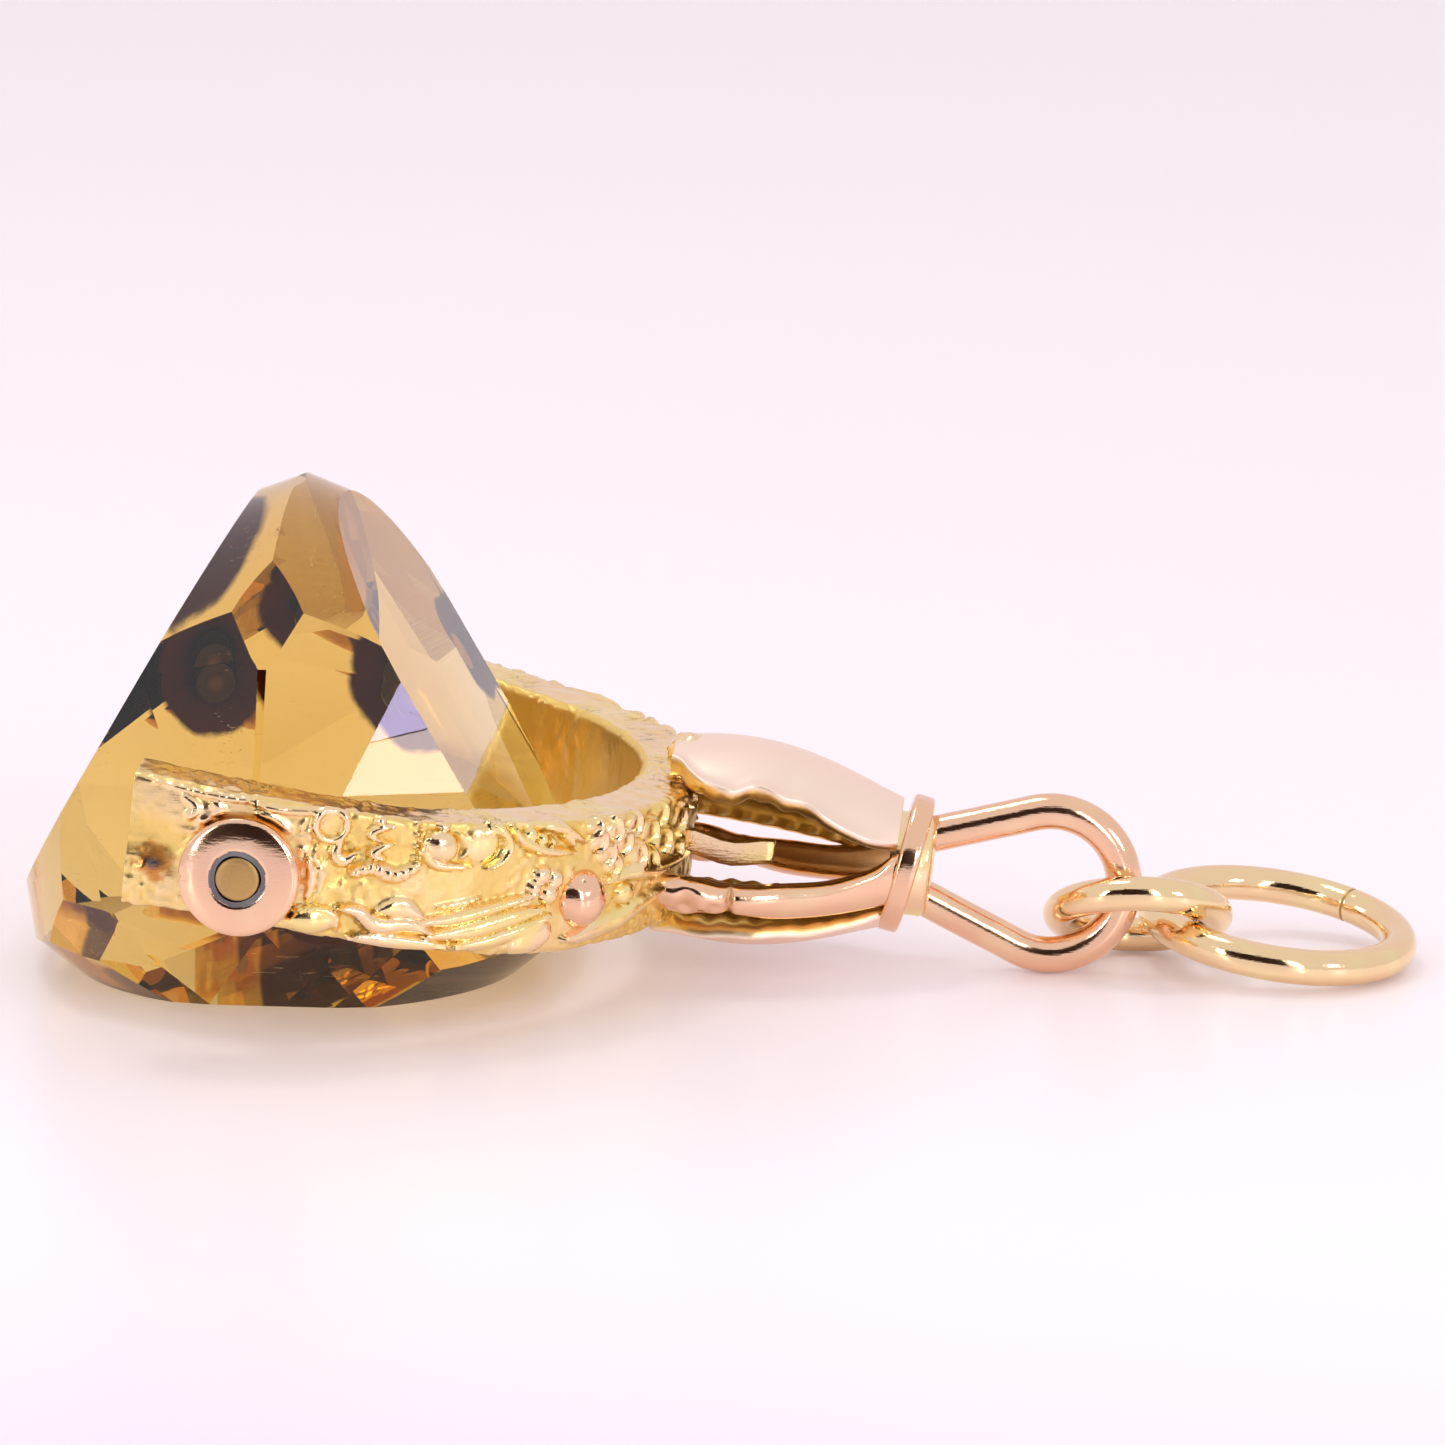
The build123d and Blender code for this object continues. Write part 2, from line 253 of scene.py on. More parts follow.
def make_piece(
    name: str,
    mesh: bmesh.types.BMesh,
    finish: Finish,
    stands_for: tuple[str, ...] = ("frame",),
    body: Body = Body.FRAME,
    place: Matrix = LAID_DOWN,
) -> bpy.types.Object:
    """Make a finished piece from a bmesh, and let it ride on its body.

    Args:
        name: The piece's name.
        mesh: Its shape, which is used up.
        finish: Its material and slot.
        stands_for: CAD nodes that it replaces.
        body: The body that carries it.
        place: Takes the mesh's millimetres to the scene's metres.

    Returns:
        The object.
    """
    if "raised" not in mesh.verts.layers.float:
        raised = mesh.verts.layers.float.new("raised")
        for vert in mesh.verts:
            vert[raised] = NEW_METAL
    for face in mesh.faces:
        face.smooth = True
    for edge in mesh.edges:
        edge.smooth = edge.smooth and edge.calc_face_angle(0.0) < SHARP_EDGE
    bmesh.ops.transform(mesh, matrix=place, verts=mesh.verts)
    piece = to_object(name, mesh, finish.material)
    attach(piece, body.value)
    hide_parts(*stands_for)
    LOG.info("%s: %d faces", name, len(piece.data.polygons))
    return piece


class Stamp:
    """One raised or sunken motif of the cast relief."""

    def height(self, along: Array, up: Array) -> Array:
        """How far the motif stands out at each spot, in millimetres."""
        raise NotImplementedError


@dataclass(frozen=True)
class Bead(Stamp):
    """A round or oval boss."""

    along: float
    up: float
    radius: float
    rise: float
    stretch: float = 1.0
    lean: float = 0.0

    def height(self, along: Array, up: Array) -> Array:
        """How far the bead stands out at each spot."""
        c, s = cos(radians(self.lean)), sin(radians(self.lean))
        x, y = along - self.along, up - self.up
        away = np.hypot((c * x + s * y) / self.stretch, c * y - s * x) / self.radius
        return self.rise * np.sqrt(np.clip(1 - away**2, 0, 1))


@dataclass(frozen=True)
class Cup(Stamp):
    """A raised ring with a sunken middle."""

    along: float
    up: float
    radius: float
    width: float
    rise: float

    def height(self, along: Array, up: Array) -> Array:
        """How far the ring stands out at each spot."""
        away = np.hypot(along - self.along, up - self.up)
        return self.rise * np.sqrt(np.clip(1 - ((away - self.radius) / self.width) ** 2, 0, 1))


@dataclass(frozen=True)
class Ridge(Stamp):
    """A curved rib or groove, plain or cut across into small ribs."""

    path: tuple[Spot, ...]
    width: float
    rise: float
    ribs: int = 0
    taper: float = 0.7
    spread: float = 1.4

    def height(self, along: Array, up: Array) -> Array:
        """How far the rib stands out at each spot."""
        line = smooth_line(self.path)
        raised = np.zeros(along.shape)
        reach = np.abs(along - line[:, 0].mean()) < np.ptp(line[:, 0]) / 2 + 2 * self.width
        x, y = along[reach], up[reach]
        near, share = np.full(x.shape, np.inf), np.zeros(x.shape)
        for step, (a, b) in enumerate(zip(line, line[1:])):
            run = b - a
            t = np.clip(((x - a[0]) * run[0] + (y - a[1]) * run[1]) / max(run @ run, 1e-9), 0, 1)
            gap = np.hypot(x - a[0] - t * run[0], y - a[1] - t * run[1])
            closer = gap < near
            near = np.where(closer, gap, near)
            share = np.where(closer, (step + t) / (len(line) - 1), share)
        wide = self.spread * self.width * (1 - self.taper * np.abs(2 * share - 1) ** 2)
        made = self.rise * np.clip(1 - (near / wide) ** 2, 0, 1)
        if self.ribs:
            made *= 0.55 + 0.45 * np.abs(np.sin(pi * self.ribs * share))
        raised[reach] = made
        return raised


def relief(along: Array, up: Array, stamps: Iterable[Stamp]) -> Array:
    """Lay the motifs over each other: the highest wins, and grooves are cut last."""
    top = np.zeros(along.shape)
    cut = np.zeros(along.shape)
    for stamp in stamps:
        made = stamp.height(along, up)
        top = np.maximum(top, made)
        cut = np.minimum(cut, made)
    return top + cut


@dataclass(frozen=True)
class Wire:
    """A shader socket that takes part in sums."""

    recipe: "Recipe"
    socket: bpy.types.NodeSocket

    def sum(self, operation: str, *terms: "Wire | float") -> "Wire":
        """Add a Math node over the terms."""
        return self.recipe.node("ShaderNodeMath", dict(enumerate(terms)), {"operation": operation})

    def __add__(self, other: "Wire | float") -> "Wire":
        """This plus other."""
        return self.sum("ADD", self, other)

    __radd__ = __add__

    def __sub__(self, other: "Wire | float") -> "Wire":
        """This less other."""
        return self.sum("SUBTRACT", self, other)

    def __rsub__(self, other: "Wire | float") -> "Wire":
        """Other less this."""
        return self.sum("SUBTRACT", other, self)

    def __mul__(self, other: "Wire | float") -> "Wire":
        """This times other."""
        return self.sum("MULTIPLY", self, other)

    __rmul__ = __mul__

    def between(self, low: float, high: float) -> "Wire":
        """Go smoothly from 0 at low to 1 at high."""
        values = {"Value": self, "From Min": low, "From Max": high}
        return self.recipe.node("ShaderNodeMapRange", values, {"interpolation_type": "SMOOTHSTEP"})


class Recipe:
    """A node tree that is being filled."""

    def __init__(self, tree: bpy.types.NodeTree) -> None:
        """Empty the tree and keep it."""
        self.tree = tree
        tree.nodes.clear()

    def node(self, kind: str, values: dict | None = None, settings: dict | None = None, out: int | str = 0) -> Wire:
        """Add one node.

        Args:
            kind: The node's type.
            values: Numbers, colours or wires for its sockets, by name or place.
            settings: Properties of the node, which are set first.
            out: The output to return.

        Returns:
            That output.
        """
        made = self.tree.nodes.new(kind)
        for key, value in (settings or {}).items():
            setattr(made, key, value)
        for key, value in (values or {}).items():
            self.feed(made.inputs[key], value)
        return Wire(self, made.outputs[out] if made.outputs else made.inputs[0])

    def feed(self, socket: bpy.types.NodeSocket, value: Wire | Triple | float) -> None:
        """Link a wire to a socket, or set a number, a vector or a colour on it."""
        if isinstance(value, Wire):
            self.tree.links.new(value.socket, socket)
        else:
            socket.default_value = (*value, 1) if socket.type == "RGBA" else value

    def places(self, stretch: Triple = (1, 1, 1)) -> Wire:
        """Object coordinates in millimetres, stretched if asked."""
        spot = self.node("ShaderNodeTexCoord", out="Object")
        size = tuple(value / MM for value in stretch)
        return self.node("ShaderNodeMapping", {"Vector": spot, "Scale": size})

    def off_line(self, along: float, height: float) -> Wire:
        """Distance in millimetres from a line that runs straight across the fob."""
        values = {0: self.places(), 1: (1.0, 0.0, 1.0), 2: (-along, 0.0, -height)}
        flat = self.node("ShaderNodeVectorMath", values, {"operation": "MULTIPLY_ADD"})
        return self.node("ShaderNodeVectorMath", {0: flat}, {"operation": "LENGTH"}, "Value")

    def across(self) -> Wire:
        """Place across the fob in millimetres."""
        return self.node("ShaderNodeSeparateXYZ", {"Vector": self.places()}, out="Y")

    def noise(self, size: float, detail: float = 3.0, stretch: Triple = (1, 1, 1)) -> Wire:
        """Noise with lumps of a size in millimetres."""
        values = {"Vector": self.places(stretch), "Scale": 1 / size, "Detail": detail}
        return self.node("ShaderNodeTexNoise", values)

    def mix(self, share: Wire | float, first: Wire | Colour, second: Wire | Colour) -> Wire:
        """Blend two colours."""
        return self.node("ShaderNodeMix", {0: share, 6: first, 7: second}, {"data_type": "RGBA"}, 2)

    def bump(self, height: Wire, depth: float, under: Wire | None = None) -> Wire:
        """Bump with a depth in millimetres."""
        values = {"Height": height, "Distance": depth * MM, "Strength": 1.0}
        if under:
            values["Normal"] = under
        return self.node("ShaderNodeBump", values)

    def finish(self, shader: Wire, volume: Wire | None = None) -> None:
        """Join the shader to the output."""
        values = {"Surface": shader}
        if volume:
            values["Volume"] = volume
        self.node("ShaderNodeOutputMaterial", values)


def new_material(name: str) -> tuple[bpy.types.Material, Recipe]:
    """A new material and its recipe."""
    material = bpy.data.materials.new(name)
    material.use_nodes = True
    return material, Recipe(material.node_tree)


@dataclass(frozen=True)
class Gold:
    """Gold that is worn bright on its high places, with painted shade that darkens its recesses."""

    name: str
    slot: str
    high: Colour
    low: Colour
    blush: Colour
    blush_share: float = 0.35
    gloss_high: float = 0.16
    gloss_low: float = 0.5
    raised_low: float = -0.04
    raised_high: float = 0.16
    grain: float = 0.012
    grain_size: float = 0.12
    pits: float = 0.0
    scratches: float = 0.004
    # colour of the painted shade in the places marked lowest
    recess_shade: Colour = (0.05, 0.018, 0.006)
    stain: Colour = (0.62, 0.22, 0.03)
    stain_heart: Colour = (0.14, 0.13, 0.2)
    tarnish: tuple[Triple, ...] = ()  # place along the fob, height and radius of each heat stain

    def make(self) -> Finish:
        """Build the material."""
        material, recipe = new_material(self.name)
        raised = recipe.node("ShaderNodeAttribute", {}, {"attribute_name": "raised"}, "Fac")
        wear = (raised + 0.05 * (recipe.noise(0.5) - 0.5)).between(self.raised_low, self.raised_high)
        blush = recipe.noise(2.2, 2).between(0.62 - self.blush_share, 0.85 - self.blush_share)
        warm = recipe.mix(blush * 0.8, self.high, self.blush)
        # Painted shade: the places marked lowest, the deep recesses and the shaded insides, go to a dark brown
        colour = recipe.mix((raised * -1.0).between(0.32, 0.7), recipe.mix(wear, self.low, warm), self.recess_shade)
        for along, height, radius in self.tarnish:
            away = recipe.off_line(along, height) + 0.9 * (recipe.noise(0.35) - 0.5)
            stain = recipe.mix(away.between(0.1, 0.35), self.stain_heart, self.stain)
            colour = recipe.mix(0.85 - 0.85 * away.between(0.5 * radius, radius), colour, stain)
        smears = 0.12 * (recipe.noise(0.9, 4) - 0.5)
        gloss = self.gloss_low + (self.gloss_high - self.gloss_low) * wear + smears
        bump = recipe.bump(recipe.noise(self.grain_size, 4), self.grain)
        if self.pits:
            values = {"Vector": recipe.places(), "Scale": 2.6, "Randomness": 1.0}
            cells = recipe.node("ShaderNodeTexVoronoi", values, {"feature": "SMOOTH_F1"})
            bump = recipe.bump(cells * (1 - wear), self.pits, bump)
        bump = recipe.bump(recipe.noise(0.08, 2, (0.12, 1.0, 1.6)), self.scratches, bump)
        values = {"Base Color": colour, "Metallic": 1.0, "Roughness": gloss, "Normal": bump}
        recipe.finish(recipe.node("ShaderNodeBsdfPrincipled", values))
        return Finish(material, self.slot)


@dataclass(frozen=True)
class Citrine:
    """Clear golden stone, with a few fine scratches and painted shade on its small ends."""

    name: str = "citrine"
    slot: str = "citrine"
    tint: Colour = (1.0, 0.97, 0.92)
    depth: Colour = (0.922, 0.745, 0.08)
    density: float = 118.0
    bend: float = 1.55
    # Painted shade on the stone's small ends round the pins: where it lies, and its brown, darker in the middle
    pin_shade_start: Spot = (9.2, 9.6)  # distances from the fob's middle between which the painted shade sets in
    pin_shade_reach: Spot = (1.9, 2.15)  # distances from the pins' axis between which it ends
    pin_shade_heart: Spot = (0.75, 1.3)
    pin_shade: Colour = (0.11, 0.035, 0.015)
    pin_shade_middle: Colour = (0.015, 0.008, 0.006)

    def make(self) -> Finish:
        """Build the material."""
        material, recipe = new_material(self.name)
        lines = recipe.noise(0.09, 1, (0.05, 1.0, 1.4)).between(0.7, 0.74)
        scratches = lines * recipe.noise(2.5, 2).between(0.5, 0.66)
        values = {
            "Base Color": self.tint,
            "Roughness": 0.004 + 0.05 * scratches,
            "IOR": self.bend,
            "Transmission Weight": 1.0,
            "Normal": recipe.bump(scratches, 0.004),
        }
        clear = recipe.node("ShaderNodeBsdfPrincipled", values)
        # Painted shade darkens the small ends round the pins, and shows as dark shapes in every facet of the other end
        reach = recipe.off_line(0.0, PIN_HEIGHT) + 0.3 * (recipe.noise(0.7) - 0.5)
        across = recipe.across()
        pin_shade = across.sum("ABSOLUTE", across).between(*self.pin_shade_start) * (1 - reach.between(*self.pin_shade_reach))
        shade_brown = recipe.mix(reach.between(*self.pin_shade_heart), self.pin_shade_middle, self.pin_shade)
        values = {"Base Color": shade_brown, "Roughness": 0.9, "Specular IOR Level": 0.0}
        shade_coat = recipe.node("ShaderNodeBsdfPrincipled", values)
        deep = recipe.node("ShaderNodeVolumeAbsorption", {"Color": self.depth, "Density": self.density})
        recipe.finish(recipe.node("ShaderNodeMixShader", {0: pin_shade, 1: clear, 2: shade_coat}), deep)
        return Finish(material, self.slot)


@dataclass(frozen=True)
class Ground:
    """The pale surface that the fob lies on."""

    name: str = "pale_surface"
    near: Colour = (0.77, 0.72, 0.83)
    far: Colour = (0.95, 0.89, 0.925)
    near_edge: float = -62.0
    far_edge: float = -27.0

    def make(self) -> bpy.types.Material:
        """Build the material."""
        material, recipe = new_material(self.name)
        colour = recipe.mix(recipe.across().between(self.near_edge, self.far_edge), self.near, self.far)
        values = {
            "Base Color": colour,
            "Roughness": 0.32,
            "Specular IOR Level": 0.4,
            "Emission Color": colour,
            "Emission Strength": 0.07,
        }
        recipe.finish(recipe.node("ShaderNodeBsdfPrincipled", values))
        return material


@dataclass
class Yoke:
    """The cast horseshoe with its relief."""

    arm_inside: float = 12.1
    arm_outside: float = 14.2
    arch_centre: float = -2.0
    arch_inside_reach: float = 11.25
    arch_outside_reach: float = 13.4
    arm_tail: float = 3.6
    rim: float = 0.28
    columns: int = 720
    rows: int = 116
    upper_edge: tuple[Spot, ...] = ((-3.6, 2.85), (1.2, 2.5), (5.3, 2.12), (9.0, 2.0), (14.0, 2.0))
    lower_edge: tuple[Spot, ...] = ((-3.6, -1.4), (0.0, -1.5), (3.1, -1.82), (6.1, -2.1), (9.4, -2.35), (14.0, -2.3))
    bead_along: float = 10.35
    bead_up: float = -0.65
    bead_radius: float = 1.0
    bead_sunk: float = 0.3
    seat_radius: float = 1.85
    # Hollows in the ground between the motifs, as x, height, size and depth
    hollows: tuple[tuple[float, float, float, float], ...] = (
        (3.6, 0.55, 0.75, 0.16), (8.9, 1.55, 0.8, 0.12), (-2.75, 0.75, 0.7, 0.2),
    )
    lead: float = 10.0  # how far before the arch the table of its arc starts
    arc: Array = field(init=False)
    arc_x: Array = field(init=False)

    def __post_init__(self) -> None:
        """Measure the arch, so that motifs can be placed by their x."""
        turn = np.linspace(0, pi / 2, 400)
        x = self.arch_centre + self.outer_reach * np.sin(turn)
        y = self.arm_outside * np.cos(turn)
        run = np.concatenate(([0], np.cumsum(np.hypot(np.diff(x), np.diff(y)))))
        self.arc = np.concatenate(([self.arch_centre - self.lead], self.arch_centre + run))
        self.arc_x = np.concatenate(([self.arch_centre - self.lead], x))

    @property
    def outer_reach(self) -> float:
        """How far the arch's outside reaches beyond its centre."""
        return self.arch_outside_reach - self.arch_centre

    def run_at(self, x: float) -> float:
        """Distance along the arm's outside at a place x."""
        return float(np.interp(x, self.arc_x, self.arc))

    def motifs(self) -> list[Stamp]:
        """The cast motifs of one arm, placed along its outside."""
        at = self.run_at

        def ridge(width: float, rise: float, *path: Spot, ribs: int = 0, taper: float = 0.7) -> Ridge:
            """A rib through spots that are given by x."""
            return Ridge(tuple((at(x), z) for x, z in path), width, rise, ribs, taper)

        stamps: list[Stamp] = [
            # Beside the washer: hatching, a cup, and small curls over a pointed tongue
            Cup(at(2.61), 1.86, 0.5, 0.13, 0.2),
            Bead(at(2.61), 1.86, 0.4, 0.05),
            Bead(at(4.1), 2.08, 0.17, 0.18),
            ridge(0.13, 0.18, (4.5, 1.95), (4.05, 1.82), (3.85, 1.6), (4.2, 1.42)),
            ridge(0.15, 0.2, (4.55, 1.4), (4.2, 1.25), (3.95, 1.02), (4.35, 0.85)),
            ridge(0.2, 0.16, (3.0, 1.5), (2.85, 1.0), (3.1, 0.75), (3.5, 1.05)),
            ridge(0.07, 0.08, (2.1, 1.95), (1.95, 1.55), (2.1, 1.2)),
            ridge(0.07, 0.08, (1.85, 2.0), (1.7, 1.75), (1.78, 1.55)),
            ridge(0.07, 0.07, (2.3, 1.25), (2.2, 0.85), (2.35, 0.5)),
            ridge(0.14, 0.1, (1.95, 0.95), (2.2, 0.1), (2.05, -0.75), taper=0.9),
            ridge(0.1, 0.07, (2.3, 0.85), (2.5, 0.1), (2.35, -0.6), taper=0.9),
            ridge(0.22, 0.14, (3.4, 0.35), (4.0, 0.55), (4.7, 0.35), (5.3, 0.65), ribs=8, taper=0.4),
            ridge(0.14, 0.13, (0.2, 2.3), (1.0, 2.2), (1.9, 2.25), (3.0, 2.28)),
            ridge(0.12, 0.12, (-3.0, 2.62), (-1.8, 2.5), (-0.6, 2.42), (0.4, 2.38), ribs=9),
            ridge(0.16, 0.12, (-2.0, 2.3), (-1.6, 2.0), (-1.75, 1.6)),
            ridge(0.2, 0.12, (-1.1, 2.25), (-0.9, 2.05), (-1.0, 1.85)),
            ridge(0.18, 0.12, (0.3, 2.05), (0.9, 1.85), (1.4, 1.55)),
            # Comma boss with its tail, small drop and textured round
            Bead(at(6.0), 1.32, 0.5, 0.4, 1.15, -25),
            ridge(0.13, 0.2, (5.6, 1.75), (5.5, 1.2), (5.85, 0.75), (6.5, 0.68), (6.95, 0.7)),
            ridge(0.16, 0.1, (6.45, 1.75), (6.8, 1.35), (6.6, 0.95)),
            Bead(at(6.0), 2.02, 0.2, 0.2, 1.5, -35),
            Bead(at(7.15), 1.4, 0.62, 0.1),
            ridge(0.15, 0.26, (7.3, 2.0), (7.75, 1.75), (7.95, 1.3), (7.75, 0.85), (7.35, 0.6)),
            # Eye-shaped hollow with its rim, nuggets and a small leaf
            ridge(0.17, 0.2, (8.0, 2.02), (8.7, 2.05), (9.5, 1.8), (10.25, 1.25)),
            ridge(0.16, 0.2, (8.0, 1.95), (8.35, 1.5), (9.1, 1.1), (10.0, 0.95)),
            Bead(at(8.6), 1.66, 0.22, 0.16, 1.3, -25),
            Bead(at(8.95), 1.5, 0.2, 0.2, 1.2, -30),
            Bead(at(9.25), 1.38, 0.15, 0.18),
            ridge(0.12, 0.16, (9.55, 1.55), (9.8, 1.4), (9.95, 1.15)),
            # Lumps to the left of the large bead
            Bead(at(9.05), 0.3, 0.3, 0.24, 1.2, 30),
            Bead(at(8.85), -0.1, 0.26, 0.22),
            Bead(at(9.3), -0.35, 0.34, 0.24),
            Bead(at(9.5), 0.1, 0.3, 0.16),
            # Lobe, waves and long ribs along the lower edge
            Bead(at(2.35), -1.22, 0.42, 0.3, 1.9, 2),
            ridge(0.13, 0.26, (1.7, -0.92), (2.5, -0.85), (3.05, -1.1), (3.1, -1.5)),
            ridge(0.24, 0.26, (3.1, -0.75), (3.7, -0.9), (4.3, -1.3), (5.2, -1.25), (6.0, -1.5)),
            ridge(0.3, 0.16, (4.3, -0.8), (5.0, -0.72), (5.6, -0.95)),
            ridge(0.22, 0.22, (3.5, -1.7), (4.4, -1.75), (5.4, -1.85), (6.4, -1.9)),
            ridge(0.2, 0.26, (5.2, -1.2), (6.4, -1.05), (7.5, -0.75), (8.9, -0.3)),
            ridge(0.26, 0.2, (5.8, -1.62), (7.0, -1.45), (8.1, -1.1), (9.2, -0.8)),
            ridge(0.2, 0.18, (6.6, -1.95), (7.8, -1.75), (8.8, -1.4), (9.4, -1.05)),
            Bead(at(8.9), -1.75, 0.5, 0.2, 1.8, 18),
            ridge(0.1, 0.1, (6.0, -0.65), (6.7, -0.55), (7.4, -0.32), ribs=7),
            ridge(0.3, 0.24, (9.9, -1.9), (10.8, -1.75), (11.8, -1.4), (12.6, -0.9)),
            # Foot of the strap
            ridge(0.24, 0.24, (10.9, -0.2), (11.7, -0.02), (12.5, -0.15), (13.2, -0.05)),
            Bead(at(11.6), -0.75, 0.35, 0.22, 1.3, 0),
        ]
        for bead in range(9):
            stamps.append(Bead(at(5.25 + 0.1 * (bead % 2)), 2.05 - 1.5 * bead / 8, 0.1, 0.12))
        # Overlapping flutes on the shoulder, each a small scoop with a raised lip
        turns = np.radians((-75, -35, 5, 45, 85))
        for x, up, size in (
            (10.4, 1.75, 0.34), (10.95, 1.5, 0.4), (10.55, 1.2, 0.36), (11.3, 1.05, 0.44), (10.85, 0.75, 0.38),
            (11.6, 1.6, 0.42), (12.1, 1.2, 0.46), (11.75, 0.55, 0.44), (12.5, 0.75, 0.46), (12.35, 1.7, 0.42),
            (11.1, 0.3, 0.34), (12.15, 0.2, 0.42), (12.9, 1.3, 0.46), (12.9, 0.3, 0.42), (13.15, 1.8, 0.4),
        ):
            lip = tuple((at(x) + size * cos(turn), up + size * sin(turn)) for turn in turns)
            stamps.append(Ridge(lip, 0.13, 0.22))
            stamps.append(Bead(at(x), up, 0.8 * size, 0.1, 1.2, 20))
        return stamps

    def build(self, finish: Finish) -> bpy.types.Object:
        """Build both arms and the arch as one skin with the relief in it."""
        stamps = self.motifs()
        tip = self.run_at(self.arch_outside_reach)
        length = tip + self.arm_tail
        upper, lower = smooth_line(self.upper_edge), smooth_line(self.lower_edge)

        def place(u: Array, v: Array) -> tuple[Array, Array]:
            """Place the skin's points."""
            share, wide = closed_ends(u, 0.009)
            signed = (2 * share - 1) * length
            side = np.where(signed < 0, -1.0, 1.0)
            run = tip - np.abs(signed)
            x = np.interp(run, self.arc, self.arc_x)
            bent = np.clip((x - self.arch_centre) / self.outer_reach, 0, 1)
            flat = np.sqrt(1 - bent**2)

            def wall(reach: float, half: float) -> Array:
                """Points of one wall of the arm, with the arch's reach and half the width."""
                beyond = np.where(x < self.arch_centre, x, self.arch_centre + reach * bent)
                return column(beyond, side * half * flat, 0)

            outer = wall(self.outer_reach, self.arm_outside)
            inner = wall(self.arch_inside_reach - self.arch_centre, self.arm_inside)
            out = column(bent / self.outer_reach, side * flat / self.arm_outside, 0)
            out /= np.linalg.norm(out, axis=1)[:, None]
            top, bottom = np.interp(x, upper[:, 0], upper[:, 1]), np.interp(x, lower[:, 0], lower[:, 1])
            tall, thick = top - bottom, np.linalg.norm(outer - inner, axis=1)
            p, q, turn = section(v, self.rim / thick, self.rim / tall)
            middle = (outer + inner) / 2 + column(0, 0, (top + bottom) / 2)
            spot = inner + (outer - inner) * p[:, None] + column(0, 0, bottom + tall * q)
            up = spot[:, 2]
            facing = np.clip(np.cos(turn), 0, 1)
            raised = relief(run, up, stamps)
            seat = 1 - np.clip((np.hypot(run, up) - self.seat_radius) / 0.2, 0, 1)
            plain = np.clip(1 - raised / 0.1, 0, 1)
            patchy = np.clip(cloud(spot + 20, 1.1) * 3 - 1.1, 0, 1)
            swell, rough = uneven(spot + 3, 0.24, 1.5), uneven(spot, 0.05, 0.45)
            stipple = uneven(spot, 0.13, 0.2) * (0.25 + 0.75 * patchy) * plain
            # Between the motifs the ground is a little sunk
            ground = -0.05 * plain * facing * np.clip((run - 2) / 2, 0, 1)
            for hollow_x, hollow_up, size, depth in self.hollows:
                away = np.hypot((run - self.run_at(hollow_x)) / 1.5, up - hollow_up)
                ground = ground - plain * facing * hump(away, size, depth)
            height = facing * (raised + ground + swell) * (1 - seat) + (rough + stipple) * (1 - seat * facing)
            edge = np.abs(np.sin(turn)) * 0.1 * (cloud(spot + 40, 0.9) - 0.45)
            normal = out * np.cos(turn)[:, None] + column(0, 0, np.sin(turn))
            spot = spot + normal * (height + edge)[:, None]
            spot = middle + (spot - middle) * wide[:, None]
            mark = np.where(facing > 0.3, raised + 1.2 * ground + swell + 1.5 * (rough + stipple), 0.06 + 2 * rough)
            mark = np.where(np.cos(turn) < -0.3, -0.16 + 2 * rough, mark)
            # Painted shade darkens the inside of an arm round the pin
            inside = (np.cos(turn) < 0) * np.clip((2.3 - np.hypot(run, up)) / 0.5, 0, 1)
            mark = mark - 0.9 * inside
            return spot, mark

        skin = grown_grid(self.columns, self.rows, place)
        return make_piece("yoke", skin, finish)

    def shoulder_bead(self, end: int, finish: Finish) -> bpy.types.Object:
        """The large polished bead on an arm's shoulder."""
        share = (self.bead_along - self.arch_centre) / self.outer_reach
        depth = self.arm_outside * (1 - share**2) ** 0.5
        out = Vector((share / self.outer_reach, end * depth / self.arm_outside**2, 0)).normalized()
        centre = Vector((self.bead_along, end * depth, self.bead_up)) - out * self.bead_sunk
        ball = bmesh.new()
        bmesh.ops.create_uvsphere(ball, u_segments=48, v_segments=32, radius=self.bead_radius)
        pit = Vector((0.25, end * 0.72, 0.66)) * self.bead_radius
        for vert in ball.verts:
            gap = (vert.co - pit).length
            lump = uneven(np.array([vert.co]), 0.02, 0.5)[0]
            vert.co += vert.co.normalized() * (lump - 0.1 * max(0.0, 1 - (gap / 0.22) ** 2))
        bmesh.ops.translate(ball, vec=centre, verts=ball.verts)
        name = "shoulder_bead_near" if end < 0 else "shoulder_bead_far"
        return make_piece(name, ball, finish)


